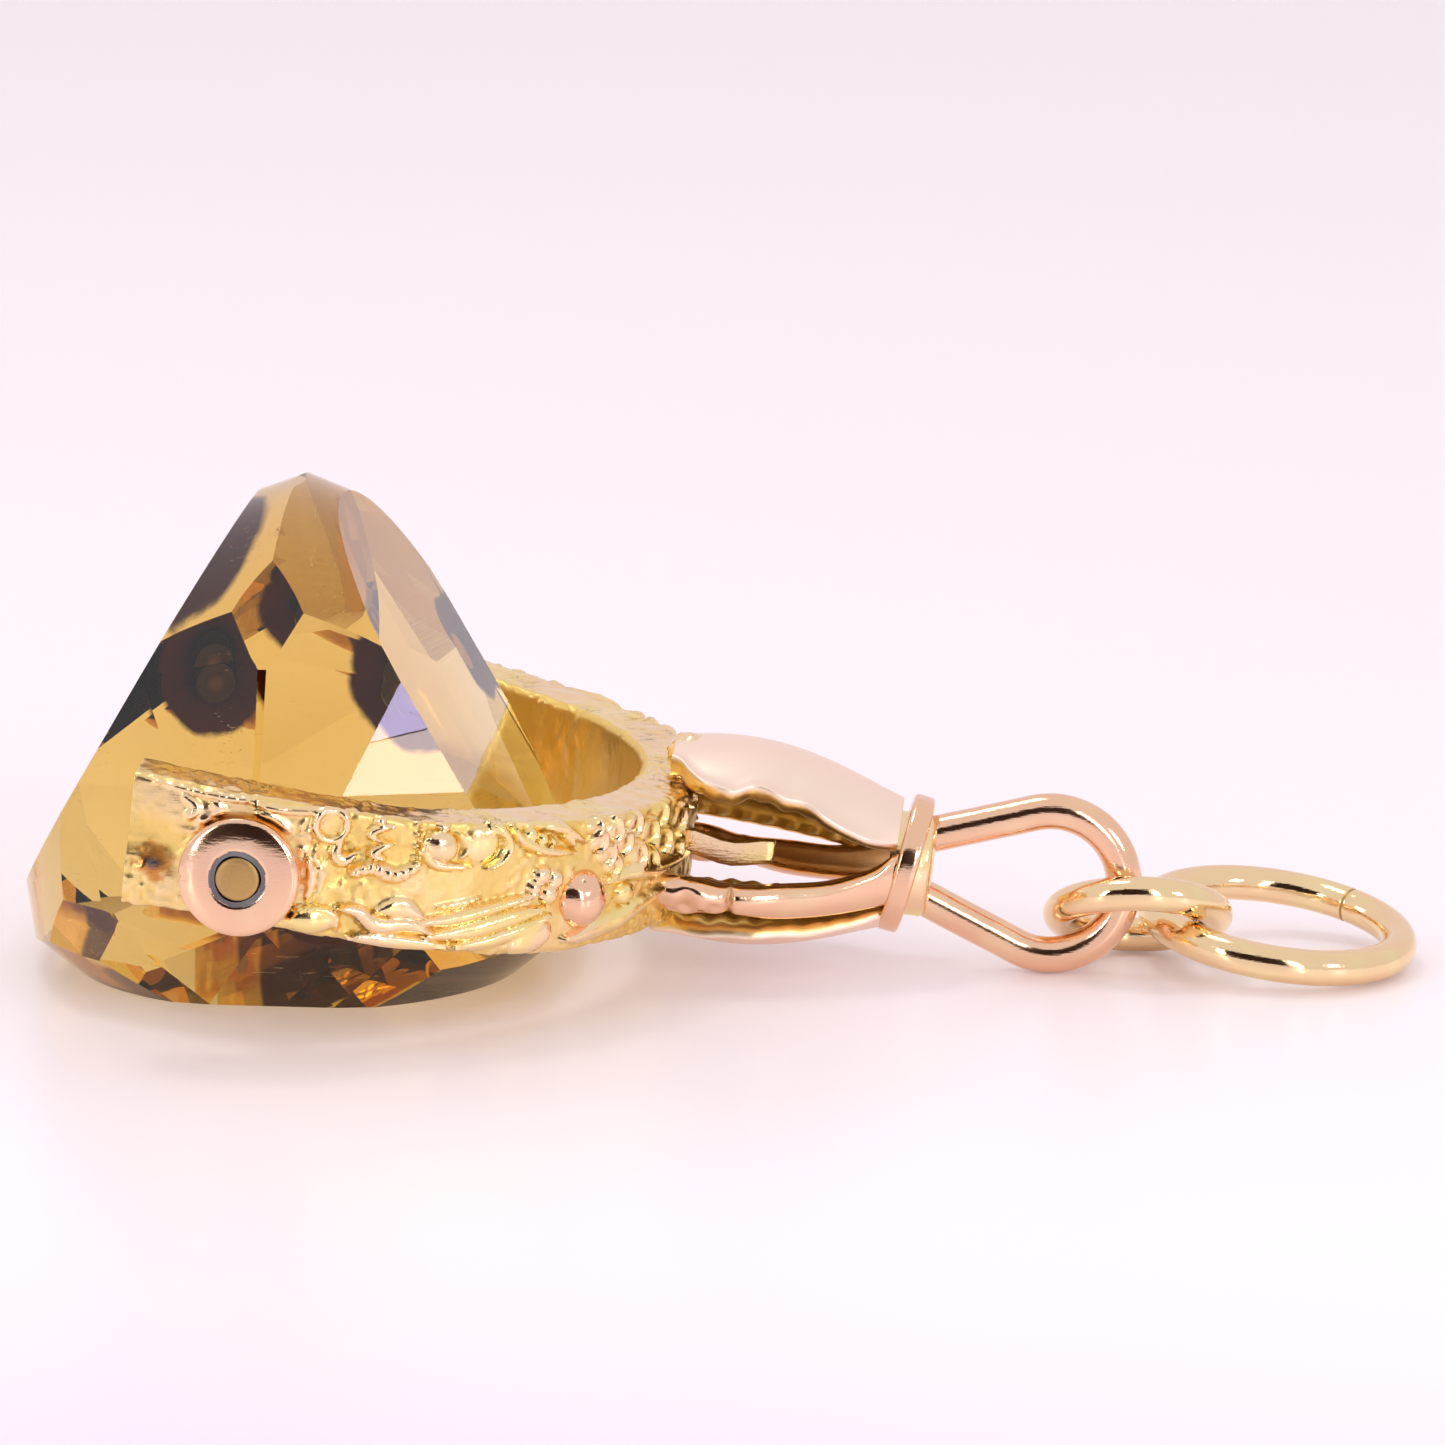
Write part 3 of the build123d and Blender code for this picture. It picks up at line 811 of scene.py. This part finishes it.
@dataclass
class Crown:
    """The open shell of two leaves and two straps, with its beads and tongue."""

    # Place along the crown, half the width and half the height
    sections: tuple[Triple, ...] = (
        (12.2, 4.75, 3.1),
        (14.5, 4.4, 3.42),
        (16.2, 3.95, 3.3),
        (17.8, 3.3, 2.95),
        (19.3, 2.5, 2.42),
        (20.3, 2.05, 2.1),
    )
    wall: float = 0.42
    # How the leaves' rims thicken and curl out, as width and height, and the flutes inside
    lip: Spot = (0.4, 0.5)
    curl: Spot = (0.45, 0.26)
    flutes: int = 13
    flute_depth: float = 0.05
    strap_thick: float = 0.85
    upper_edge: tuple[Spot, ...] = (
        (11.0, 2.75), (12.5, 2.75), (13.0, 2.55), (13.6, 2.3), (14.5, 2.15), (15.1, 2.35), (15.6, 2.3), (16.2, 2.1),
        (16.9, 2.0), (17.7, 1.55), (18.5, 1.2), (19.2, 0.95), (19.9, 0.9), (20.6, 0.9),
    )
    lower_edge: tuple[Spot, ...] = (
        (11.0, -2.75), (12.5, -2.6), (15.0, -2.4), (18.0, -2.05), (19.9, -1.5), (20.6, -1.4),
    )
    strap_top: tuple[Spot, ...] = (
        (12.2, -0.75), (13.6, -0.7), (14.9, -0.85), (16.5, -0.66),
        (18.0, -0.45), (19.3, 0.1), (20.0, 0.7), (20.4, 0.75),
    )
    strap_foot: tuple[Spot, ...] = (
        (12.2, -1.9), (13.6, -1.95), (14.9, -1.78), (16.5, -1.85), (18.5, -1.6), (20.4, -1.1),
    )
    strap_start: float = 12.2
    strap_end: float = 20.35
    strap_joint: float = 14.9
    root: Spot = (12.85, 2.55)
    root_radius: float = 0.8
    tongue_middle: Triple = (14.3, -1.6, 0.0)
    tongue_size: Triple = (3.6, 0.45, 0.8)
    far_edge: float = -0.4
    leaf_start: float = 12.35
    leaf_end: float = 20.1

    def shell(self, x: Array, q: Array, foot: Array, top: Array, grow: Array | float = 0.0) -> tuple[Array, Array]:
        """Points of the shell, and its normals, between two heights on the near side.

        Args:
            x: Place along the crown.
            q: Share of the way from the lower to the upper turn.
            foot: Lower turn about the crown's axis.
            top: Upper turn.
            grow: How far outside the shell.

        Returns:
            The points and their normals.
        """
        half_wide, half_tall = self.halves(x)
        turn = foot + (top - foot) * q
        normal = column(0, -np.cos(turn) / half_wide, np.sin(turn) / half_tall)
        normal /= np.linalg.norm(normal, axis=1)[:, None]
        spot = column(x, -half_wide * np.cos(turn), half_tall * np.sin(turn))
        return spot + normal * np.broadcast_to(grow, x.shape)[:, None], normal

    def closed(self, spot: Array, x: Array, foot: Array, top: Array, thick: Array | float, wide: Array) -> Array:
        """Draw a plate's ends in towards the middle of its section."""
        middle, _ = self.shell(x, np.full(x.shape, 0.5), foot, top, np.multiply(thick, -0.5))
        return middle + (spot - middle) * wide[:, None]

    def halves(self, x: Array) -> tuple[Array, Array]:
        """Half the width and half the height of the shell at x."""
        middle = 16
        along, *halves = np.array(self.sections).T
        wide, tall = (np.polyval(np.polyfit(along - middle, half, 4), x - middle) for half in halves)
        return wide, tall

    def leaf(self, name: str, end: int, finish: Finish) -> bpy.types.Object:
        """A leaf over the top of the shell, end 1, or under it, end -1."""
        edge = smooth_line(self.upper_edge if end > 0 else self.lower_edge)

        def place(u: Array, v: Array) -> tuple[Array, Array]:
            """Place the leaf's points."""
            share, wide = closed_ends(u, 0.02)
            x = self.leaf_start + (self.leaf_end - self.leaf_start) * share
            half_wide, half_tall = self.halves(x)
            line = np.interp(x, edge[:, 0], edge[:, 1])
            foot = np.arcsin(np.clip(line / half_tall, -0.98, 0.98))
            # The upper leaf comes further down on the far side, where it closes the shell
            far = np.minimum(line, self.far_edge) if end > 0 else line
            top = pi * (1 if end > 0 else -1) - np.arcsin(np.clip(far / half_tall, -0.98, 0.98))
            girth = half_wide * np.abs(top - foot)
            p, q, _ = section(v, np.full(x.shape, 0.46), 0.2 / girth, 0.46)
            rim = np.minimum(q, 1 - q) * girth
            lip = hump(rim, *self.lip) * (0.85 + 0.15 * np.cos(share * 20 * pi))
            curl = hump(rim, *self.curl) * np.clip((20.3 - x) / 2, 0, 1)
            rib = self.flute_depth * np.cos(2 * pi * self.flutes * q) * np.clip((p - 0.6) * -2, 0, 1)
            vein = hump(rim, 0.7, 0.03) * np.cos(share * 9 * pi)
            spot, normal = self.shell(x, q, foot, top, curl + rib + vein)
            spot = spot + normal * (uneven(spot, 0.02, 1.4) - (self.wall + lip) * (1 - p))[:, None]
            spot = self.closed(spot, x, foot, top, self.wall, wide)
            # Satin outside, yellow on the thick rim, and painted shade inside that deepens away from the rim
            outside = np.clip(2.6 * p - 1.5, 0, 1)
            return spot, USED_METAL * outside - (1 - outside) * (0.1 + 0.4 * np.clip(rim / 0.9 - 0.2, 0, 1))

        skin = grown_grid(150, 220, place)
        return make_piece(name, skin, finish)

    def strap(self, name: str, end: int, finish: Finish) -> bpy.types.Object:
        """A side strap from the arch to the collar, end -1 near and 1 far."""
        upper, lower = smooth_line(self.strap_top), smooth_line(self.strap_foot)

        def place(u: Array, v: Array) -> tuple[Array, Array]:
            """Place the strap's points."""
            share, wide = closed_ends(u, 0.02)
            x = self.strap_start + (self.strap_end - self.strap_start) * share
            top, foot = np.interp(x, upper[:, 0], upper[:, 1]), np.interp(x, lower[:, 0], lower[:, 1])
            tall = self.halves(x)[1]
            low_turn, high_turn = np.arcsin(foot / tall), np.arcsin(top / tall)
            p, q, _ = section(v, np.full(x.shape, 0.42), 0.3 / (top - foot), 0.4)
            joint = hump(x - self.strap_joint, 0.13)
            belly = 0.14 * np.sin(pi * q) * p
            lumps = uneven(column(x, q * 2, p), 0.2, 0.5) * np.clip((self.strap_joint + 0.3 - x) / 0.5, 0, 1)
            spot, normal = self.shell(x, q, low_turn, high_turn, belly - 0.16 * joint + lumps)
            thick = self.strap_thick * (1 - 0.25 * joint)
            spot = spot - normal * (thick * (1 - p))[:, None]
            spot = self.closed(spot, x, low_turn, high_turn, thick, wide)
            spot[:, 1] *= -end
            return spot, USED_METAL - 0.12 * joint + lumps - 0.3 * np.clip(0.4 - p, 0, 1)

        skin = grown_grid(150, 64, place)
        return make_piece(name, skin, finish)

    def root_bead(self, name: str, end: int, finish: Finish) -> bpy.types.Object:
        """The textured knob where a leaf grows from the arch."""
        ball = bmesh.new()
        bmesh.ops.create_icosphere(ball, subdivisions=5, radius=self.root_radius)
        spots = np.array([vert.co for vert in ball.verts])
        for vert, lump in zip(ball.verts, uneven(spots + 11, 0.22, 0.42) + uneven(spots + 5, 0.1, 0.2)):
            vert.co *= 1 + lump
        bmesh.ops.translate(ball, vec=(self.root[0], 0, end * self.root[1]), verts=ball.verts)
        return make_piece(name, ball, finish)

    def tongue(self, finish: Finish) -> bpy.types.Object:
        """The thin tongue inside the shell."""
        strip = bmesh.new()
        block = Matrix.Translation(self.tongue_middle) @ Matrix.Diagonal((*self.tongue_size, 1))
        bmesh.ops.create_cube(strip, size=1.0, matrix=block)
        bmesh.ops.subdivide_edges(strip, edges=strip.edges, cuts=7, use_grid_fill=True)
        bmesh.ops.smooth_vert(strip, verts=strip.verts, factor=0.5, use_axis_x=True, use_axis_y=True, use_axis_z=True)
        for vert in strip.verts:
            vert.co.z += 0.12 * sin((vert.co.x - 12.5) * 2.2)
        return make_piece("tongue", strip, finish)


@dataclass
class Hanger:
    """The collar, the neck, the wire loop and the two rings."""

    collar_along: float = 20.45
    collar_radius: float = 1.98
    collar_wire: float = 0.4
    collar_lean: float = 9.0
    neck_radius: float = 1.72
    neck_start: float = 19.9
    neck_end: float = 21.35
    loop_wire: float = 0.6
    loop_centre: float = 25.3
    loop_bend: float = 2.45
    loop_root: Spot = (20.9, 0.98)

    def collar(self, finish: Finish) -> bpy.types.Object:
        """The flat-sided collar ring."""

        def place(u: Array, v: Array) -> tuple[Array, Array]:
            """Place the collar's points."""
            turn, round_ = 2 * pi * u, 2 * pi * v
            out = column(0, np.cos(turn), np.sin(turn))
            square = 1 / (np.abs(np.cos(round_)) ** 5 + np.abs(np.sin(round_)) ** 5) ** 0.2
            reach = self.collar_wire * 0.93 * square
            dents = 1 + uneven(out * 3, 0.03, 0.8)
            spot = out * (self.collar_radius + reach * np.cos(round_))[:, None] * dents[:, None]
            return spot + column(reach * np.sin(round_), 0, 0), NEW_METAL

        skin = grown_grid(180, 36, place)
        lean = Matrix.Translation((self.collar_along, 0, 0)) @ Matrix.Rotation(radians(self.collar_lean), 4, "Y")
        bmesh.ops.transform(skin, matrix=lean, verts=skin.verts)
        return make_piece("collar", skin, finish)

    def neck(self, finish: Finish) -> bpy.types.Object:
        """The disc behind the collar, domed to the loop."""
        start, end, radius = self.neck_start, self.neck_end, self.neck_radius
        profile = (
            (start, 0.0),
            (start, radius),
            (end - 0.25, radius),
            (end - 0.06, radius - 0.14),
            (end, radius - 0.35),
            (end + 0.02, 0.9),
            (end + 0.02, 0.0),
        )
        disc = spun(profile, Vector((1, 0, 0)), Vector(), 64)
        return make_piece("neck", disc, finish)

    def loop(self, finish: Finish) -> bpy.types.Object:
        """The pear-shaped wire loop."""
        reach = hypot(self.loop_centre - self.loop_root[0], self.loop_root[1])
        turn = atan2(self.loop_root[1], self.loop_root[0] - self.loop_centre) - acos(self.loop_bend / reach)
        angles = np.linspace(turn, -turn, 120)
        bend = column(self.loop_centre + self.loop_bend * np.cos(angles), self.loop_bend * np.sin(angles))
        path = np.vstack((self.loop_root, bend, (self.loop_root[0], -self.loop_root[1])))
        run = np.concatenate(([0], np.cumsum(np.hypot(*np.diff(path, axis=0).T))))

        def place(u: Array, v: Array) -> tuple[Array, Array]:
            """Place the loop's points."""
            share, wide = closed_ends(u, 0.015)

            def at(way: Array) -> Array:
                """Places x and z on the path."""
                return np.stack([np.interp(way, run, path[:, axis]) for axis in (0, 1)])

            way = share * run[-1]
            x, z = at(way)
            ahead = at(way + 0.2) - at(way - 0.2)
            ahead /= np.hypot(*ahead)
            side = column(-ahead[1], 0, ahead[0])
            spot = tube(column(x, 0, z), side, column(0, np.ones(len(x)), 0), self.loop_wire, 2 * pi * v, wide)
            wavy = uneven(spot, 0.02, 1.6)
            return spot + wavy[:, None] * side, USED_METAL + wavy

        skin = grown_grid(260, 40, place)
        return make_piece("loop", skin, finish)

    def ring(
        self, name: str, bend: float, wire: float, centre: Triple, lean: Spot, seam: float, finish: Finish
    ) -> bpy.types.Object:
        """A round wire ring with a fine seam where its ends meet.

        Args:
            name: The ring's name, also its CAD node's.
            bend: Radius of its centre line.
            wire: Radius of its wire.
            centre: Its centre above the floor.
            lean: How it leans about the fob's length and its width.
            seam: Turn at which its wire was joined.
            finish: Its material and slot.

        Returns:
            The ring.
        """

        def place(u: Array, v: Array) -> tuple[Array, Array]:
            """Place the ring's points."""
            turn = 2 * pi * u
            out = column(np.cos(turn), np.sin(turn), 0)
            away = np.abs((turn - seam + pi) % (2 * pi) - pi) * bend
            radius = wire * (1 - hump(away, 0.06, 0.05))
            spot = tube(out * bend, out, column(0, 0, np.ones(len(u))), radius, 2 * pi * v)
            return spot + out * uneven(spot, 0.014, 1.2)[:, None], USED_METAL - hump(away, 0.05, 0.3)

        skin = grown_grid(300, 40, place)
        leant = Matrix.Rotation(radians(lean[1]), 4, "Y") @ Matrix.Rotation(radians(lean[0]), 4, "X")
        place_all = TO_METRES @ Matrix.Translation(centre) @ leant
        return make_piece(name + "_wire", skin, finish, (name,), place=place_all)


@dataclass
class Spinner:
    """The stone, its pins and the washers they run in."""

    # Facets cut a little deeper than in the solid, as turn from a corner, tilt and distance from the middle
    deeper: tuple[Triple, ...] = ((0.0, 49.26, 10.418), (60.0, 54.5, 9.3))
    facet_bevel: float = 0.035
    band_slope: float = 0.766
    worn_angle: float = 9.0
    worn_length: float = 0.12
    pin_radius: float = 0.71
    pin_start: float = 9.4
    pin_end: float = 14.76
    washer_radius: float = 1.88
    washer_bore: float = 0.9
    washer_dome: float = 0.2
    filling_bore: float = 0.735
    bore_wobble: float = 0.03
    washer_back: float = 14.24
    washer_front: float = 14.74

    def stone(self, finish: Finish) -> bpy.types.Object:
        """The stone, its facets joined up and its edges a little worn."""
        gem = bmesh.new()
        gem.from_mesh(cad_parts["stone"].data)
        bmesh.ops.scale(gem, vec=(1 / MM,) * 3, verts=gem.verts)
        bmesh.ops.remove_doubles(gem, verts=gem.verts, dist=FINE_GAP)
        bmesh.ops.dissolve_limit(gem, angle_limit=radians(0.4), verts=gem.verts, edges=gem.edges)
        for corner, end, (turn, tilt, distance) in product((0, 120, 240), (-1, 1), self.deeper):
            angle, lean = radians(corner + turn), radians(tilt)
            normal = Vector((sin(angle) * cos(lean), end * sin(lean), cos(angle) * cos(lean)))
            spot = Vector((0, 0, PIN_HEIGHT)) + normal * distance
            everything = [*gem.verts, *gem.edges, *gem.faces]
            cut = bmesh.ops.bisect_plane(
                gem, geom=everything, dist=FINE_GAP, plane_co=spot, plane_no=normal, clear_outer=True
            )
            rim = [item for item in cut["geom_cut"] if isinstance(item, bmesh.types.BMEdge) and item.is_boundary]
            if rim:
                bmesh.ops.contextual_create(gem, geom=rim)
        worn = radians(self.worn_angle)
        edges = [
            edge
            for edge in gem.edges
            if edge.is_manifold and edge.calc_face_angle(0.0) > worn and edge.calc_length() > self.worn_length
        ]
        bmesh.ops.bevel(
            gem,
            geom=edges,
            offset=self.facet_bevel,
            affect="EDGES",
            segments=1,
            profile=0.5,
            material=-1,
            clamp_overlap=True,
        )
        bmesh.ops.recalc_face_normals(gem, faces=gem.faces)
        for edge in gem.edges:
            edge.smooth = edge.calc_face_angle(0.0) < radians(1.5) or self.on_band(edge)
        return make_piece("gem", gem, finish, ("stone",), Body.SPINNER, TO_METRES)

    def on_band(self, edge: bmesh.types.BMEdge) -> bool:
        """Whether an edge lies in one of the smooth bevel bands round the round faces."""
        for turn in (60, 180, 300):
            way = Vector((sin(radians(turn)), 0, cos(radians(turn))))
            if all(abs(face.normal @ way - self.band_slope) < 0.006 for face in edge.link_faces):
                return True
        return False

    def turned(self, profile: Iterable[Spot], end: int, steps: int) -> bmesh.types.BMesh:
        """Spin a profile of distance from the fob's middle and radius about the pins' axis."""
        placed = [(end * reach, radius) for reach, radius in profile]
        return spun(placed, Vector((0, 1, 0)), Vector((0, 0, PIN_HEIGHT)), steps)

    def washer(self, name: str, end: int, finish: Finish, filling: Finish) -> bpy.types.Object:
        """A domed washer with a softened, notched rim and a grey fillet of solder in its bore."""
        back, front, outer, bore = self.washer_back, self.washer_front, self.washer_radius, self.washer_bore
        radii = np.linspace(bore + 0.03, outer - 0.1, 12)
        dome = zip(front - self.washer_dome * ((radii - bore) / (outer - bore)) ** 2, radii)
        profile = (
            (front - 0.05, self.filling_bore),
            (front - 0.03, bore - 0.04),
            (front - 0.03, bore),
            *dome,
            (front - 0.205, outer - 0.05),
            (front - 0.23, outer - 0.015),
            (front - 0.27, outer),
            (back + 0.06, outer),
            (back, outer - 0.06),
            (back, self.filling_bore),
            (front - 0.05, self.filling_bore),
        )
        shape = self.turned(profile, end, 96)
        raised = shape.verts.layers.float.new("raised")
        for vert in shape.verts:
            height = vert.co.z - PIN_HEIGHT
            radius, turn = hypot(vert.co.x, height), atan2(height, vert.co.x)
            vert[raised] = NEW_METAL if radius > bore + 0.01 else 0.1
            notch = max(0.0, 1 - abs(abs(turn) - pi) / 0.07) if radius > outer - 0.3 else 0.0
            vert.co.x *= 1 - 0.035 * notch
            # The bore is a little out of round, with three soft corners
            if radius < bore + 0.04:
                grown = 1 + self.bore_wobble * cos(3 * turn)
                vert.co.x, vert.co.z = vert.co.x * grown, PIN_HEIGHT + height * grown
        for face in shape.faces:
            middle = face.calc_center_median()
            if hypot(middle.x, middle.z - PIN_HEIGHT) < bore:
                face.material_index = 1
        piece = make_piece(name + "_plate", shape, finish, (name,), place=TO_METRES)
        piece.data.materials.append(filling.material)
        return piece

    def pin(self, name: str, end: int, finish: Finish) -> bpy.types.Object:
        """A pin with a filed, slightly domed end."""
        profile = (
            (self.pin_start, 0.0),
            (self.pin_start, self.pin_radius),
            (self.pin_end - 0.1, self.pin_radius),
            (self.pin_end - 0.03, self.pin_radius - 0.05),
            (self.pin_end - 0.01, self.pin_radius - 0.2),
            (self.pin_end, 0.25),
            (self.pin_end, 0.0),
        )
        shape = self.turned(profile, end, 64)
        raised = shape.verts.layers.float.new("raised")
        for vert in shape.verts:
            radius = hypot(vert.co.x, vert.co.z - PIN_HEIGHT)
            vert[raised] = NEW_METAL if radius < self.pin_radius - 0.02 else -0.2
        return make_piece(name + "_peg", shape, finish, (name,), Body.SPINNER, TO_METRES)


@dataclass
class Studio:
    """Floor, light and camera."""

    aim: Triple = (14.13, 0.0, 8.28)
    distance: float = 197.87
    azimuth: float = 3.62
    elevation: float = 12.0
    roll: float = 0.61
    lens: float = 148.24
    sensor: float = 36.0
    lamp_aim: Triple = (12.0, 0.0, 6.0)
    floor_half: float = 2.5
    floor_rise_from: float = 0.9
    sky: Colour = (0.96, 0.918, 0.938)
    low_sky: Colour = (0.93, 0.87, 0.915)
    dark: Colour = (0.03, 0.018, 0.014)

    def back(self) -> Vector:
        """Unit vector from the aim to the camera."""
        turn, lift = radians(self.azimuth), radians(self.elevation)
        return Vector((sin(turn) * cos(lift), -cos(turn) * cos(lift), sin(lift)))

    def camera(self) -> None:
        """The camera at the photograph's angle."""
        back = self.back()
        right = (-back).cross(Vector((0, 0, 1))).normalized()
        up = right.cross(-back)
        c, s = cos(radians(self.roll)), sin(radians(self.roll))
        right, up = c * right + s * up, c * up - s * right
        data = bpy.data.cameras.new("camera")
        data.lens, data.sensor_width = self.lens, self.sensor
        data.clip_start, data.clip_end = 0.005, 20.0
        camera = bpy.data.objects.new("camera", data)
        bpy.context.scene.collection.objects.link(camera)
        place = Matrix((right, up, back)).transposed().to_4x4()
        place.translation = (Vector(self.aim) + back * self.distance) * MM
        camera.matrix_world = place
        bpy.context.scene.camera = camera

    def floor(self) -> None:
        """A wide pale floor that curves up far behind."""
        sheet = bmesh.new()
        bmesh.ops.create_grid(sheet, x_segments=24, y_segments=80, size=self.floor_half)
        for vert in sheet.verts:
            over = max(0.0, vert.co.y - self.floor_rise_from)
            vert.co.z = over**2 * 0.9
        for face in sheet.faces:
            face.smooth = True
        floor = to_object("floor", sheet, Ground().make())

    def world(self) -> None:
        """An all-round pale light."""
        world = bpy.data.worlds.new("light_tent")
        bpy.context.scene.world = world
        world.use_nodes = True
        recipe = Recipe(world.node_tree)
        way = recipe.node("ShaderNodeTexCoord", out="Generated")
        up = recipe.node("ShaderNodeSeparateXYZ", {"Vector": way}, out="Z")
        colour = recipe.mix(up.between(-0.1, 0.6), self.low_sky, self.sky)
        shade = recipe.node("ShaderNodeBackground", {"Color": colour, "Strength": 0.9})
        recipe.node("ShaderNodeOutputWorld", {"Surface": shade})

    def lamp(self, name: str, place: Triple, size: Spot, power: float, colour: Colour) -> None:
        """A soft lamp, in millimetres, that looks at the fob and isn't seen itself."""
        data = bpy.data.lights.new(name, "AREA")
        data.shape, data.size, data.size_y = "RECTANGLE", size[0] * MM, size[1] * MM
        data.energy, data.color = power, colour
        lamp = bpy.data.objects.new(name, data)
        bpy.context.scene.collection.objects.link(lamp)
        spot = Vector(place) * MM
        lamp.location = spot
        lamp.rotation_mode = "QUATERNION"
        lamp.rotation_quaternion = (Vector(self.lamp_aim) * MM - spot).to_track_quat("-Z", "Y")
        lamp.visible_camera = False

    def flag(self, name: str, near: Triple, size: Spot) -> None:
        """A dark card that only shows in reflections, as the camera and the room do.

        Args:
            name: The card's name.
            near: Middle of its lower edge.
            size: Its width and height.
        """
        upright = Matrix.Translation((near[0], near[1], near[2] + size[1] / 2)) @ Matrix.Rotation(pi / 2, 4, "X")
        card = bmesh.new()
        shape = TO_METRES @ upright @ Matrix.Diagonal((*size, 1, 1))
        bmesh.ops.create_grid(card, x_segments=1, y_segments=1, size=0.5, matrix=shape)
        material, recipe = new_material(name + "_black")
        recipe.finish(recipe.node("ShaderNodeBsdfDiffuse", {"Color": self.dark}))
        flag = to_object(name, card, material)
        flag.visible_camera = flag.visible_diffuse = flag.visible_shadow = flag.visible_transmission = False

    def light(self) -> None:
        """Set the lamps and the dark card."""
        self.world()
        self.flag("front_flag", (-14, -104, 14), (140, 84))
        self.lamp("overhead", (-60, 60, 320), (80, 80), 0.12, (1.0, 0.97, 0.96))
        self.lamp("left_strip", (-62, -96, 44), (10, 60), 0.016, (1.0, 0.98, 0.98))
        self.lamp("right_strip", (66, -96, 44), (10, 60), 0.016, (1.0, 0.98, 0.98))
        # Two soft boxes that one facet beside the arm mirrors
        self.lamp("violet_box", (241.0, -158.0, 117.0), (44, 26), 0.047, (0.72, 0.62, 1.0))
        self.lamp("cream_box", (246.0, -164.0, 92.0), (44, 26), 0.036, (1.0, 0.82, 0.84))
        self.lamp("sky_left", (-240, 40, 120), (60, 60), 0.05, (0.88, 0.84, 1.0))
        scene = bpy.context.scene
        scene.view_settings.view_transform = "Standard"
        scene.view_settings.look = "None"


def main() -> None:
    """Build the fob, its floor, its light and the camera."""
    studio = Studio()
    studio.camera()
    studio.floor()
    studio.light()

    cast = Gold(
        "cast_gold",
        "yellow_gold",
        (0.97, 0.77, 0.33),
        (0.88, 0.63, 0.2),
        (0.96, 0.7, 0.47),
        blush_share=0.27,
        gloss_low=0.4,
        raised_low=-0.12,
        pits=0.01,
        grain=0.008,
        tarnish=((-2.73, 6.42, 0.75),),
    ).make()
    rose = Gold(
        "rose_gold",
        "rose_gold",
        (0.93, 0.67, 0.43),
        (0.55, 0.3, 0.12),
        (0.92, 0.57, 0.38),
        gloss_high=0.12,
        grain=0.003,
    ).make()
    satin = Gold(
        "satin_rose_gold",
        "rose_gold",
        (1.0, 0.88, 0.72),
        (0.95, 0.68, 0.24),
        (1.0, 0.8, 0.66),
        blush_share=0.4,
        gloss_high=0.42,
        gloss_low=0.3,
        grain=0.004,
    ).make()
    pale = Gold(
        "pale_gold", "ring_gold", (0.93, 0.76, 0.42), (0.5, 0.32, 0.1), (0.93, 0.68, 0.4), gloss_high=0.08, grain=0.002
    ).make()
    dull = Gold(
        "dull_pin_gold", "pin_gold", (0.6, 0.38, 0.14), (0.1, 0.08, 0.06), (0.5, 0.33, 0.14), gloss_high=0.5
    ).make()
    solder = Gold(
        "grey_solder", "rose_gold", (0.3, 0.29, 0.29), (0.1, 0.1, 0.1), (0.22, 0.2, 0.2), gloss_high=0.5, grain=0.015
    ).make()
    citrine = Citrine().make()

    yoke = Yoke()
    yoke.build(cast)
    crown = Crown()
    crown.leaf("upper_leaf", 1, satin)
    crown.leaf("lower_leaf", -1, satin)
    crown.root_bead("upper_root_bead", 1, cast)
    crown.root_bead("lower_root_bead", -1, cast)
    crown.tongue(cast)
    hanger = Hanger()
    hanger.collar(rose)
    hanger.neck(cast)
    hanger.loop(rose)
    hanger.ring("small_ring", 2.6, 0.575, (28.07, 0.91, 1.86), (-29.0, -0.8), 2.2, pale)
    hanger.ring("large_ring", 4.15, 0.6, (32.77, 2.27, 1.3), (4.6, 7.2), 0.9, pale)
    spinner = Spinner()
    spinner.stone(citrine)
    for side, end in (("near", -1), ("far", 1)):
        yoke.shoulder_bead(end, rose)
        crown.strap(f"strap_{side}", end, rose)
        spinner.washer(f"washer_{side}", end, rose, solder)
        spinner.pin(f"pin_{side}", end, dull)


if __name__ == "__main__":
    main()
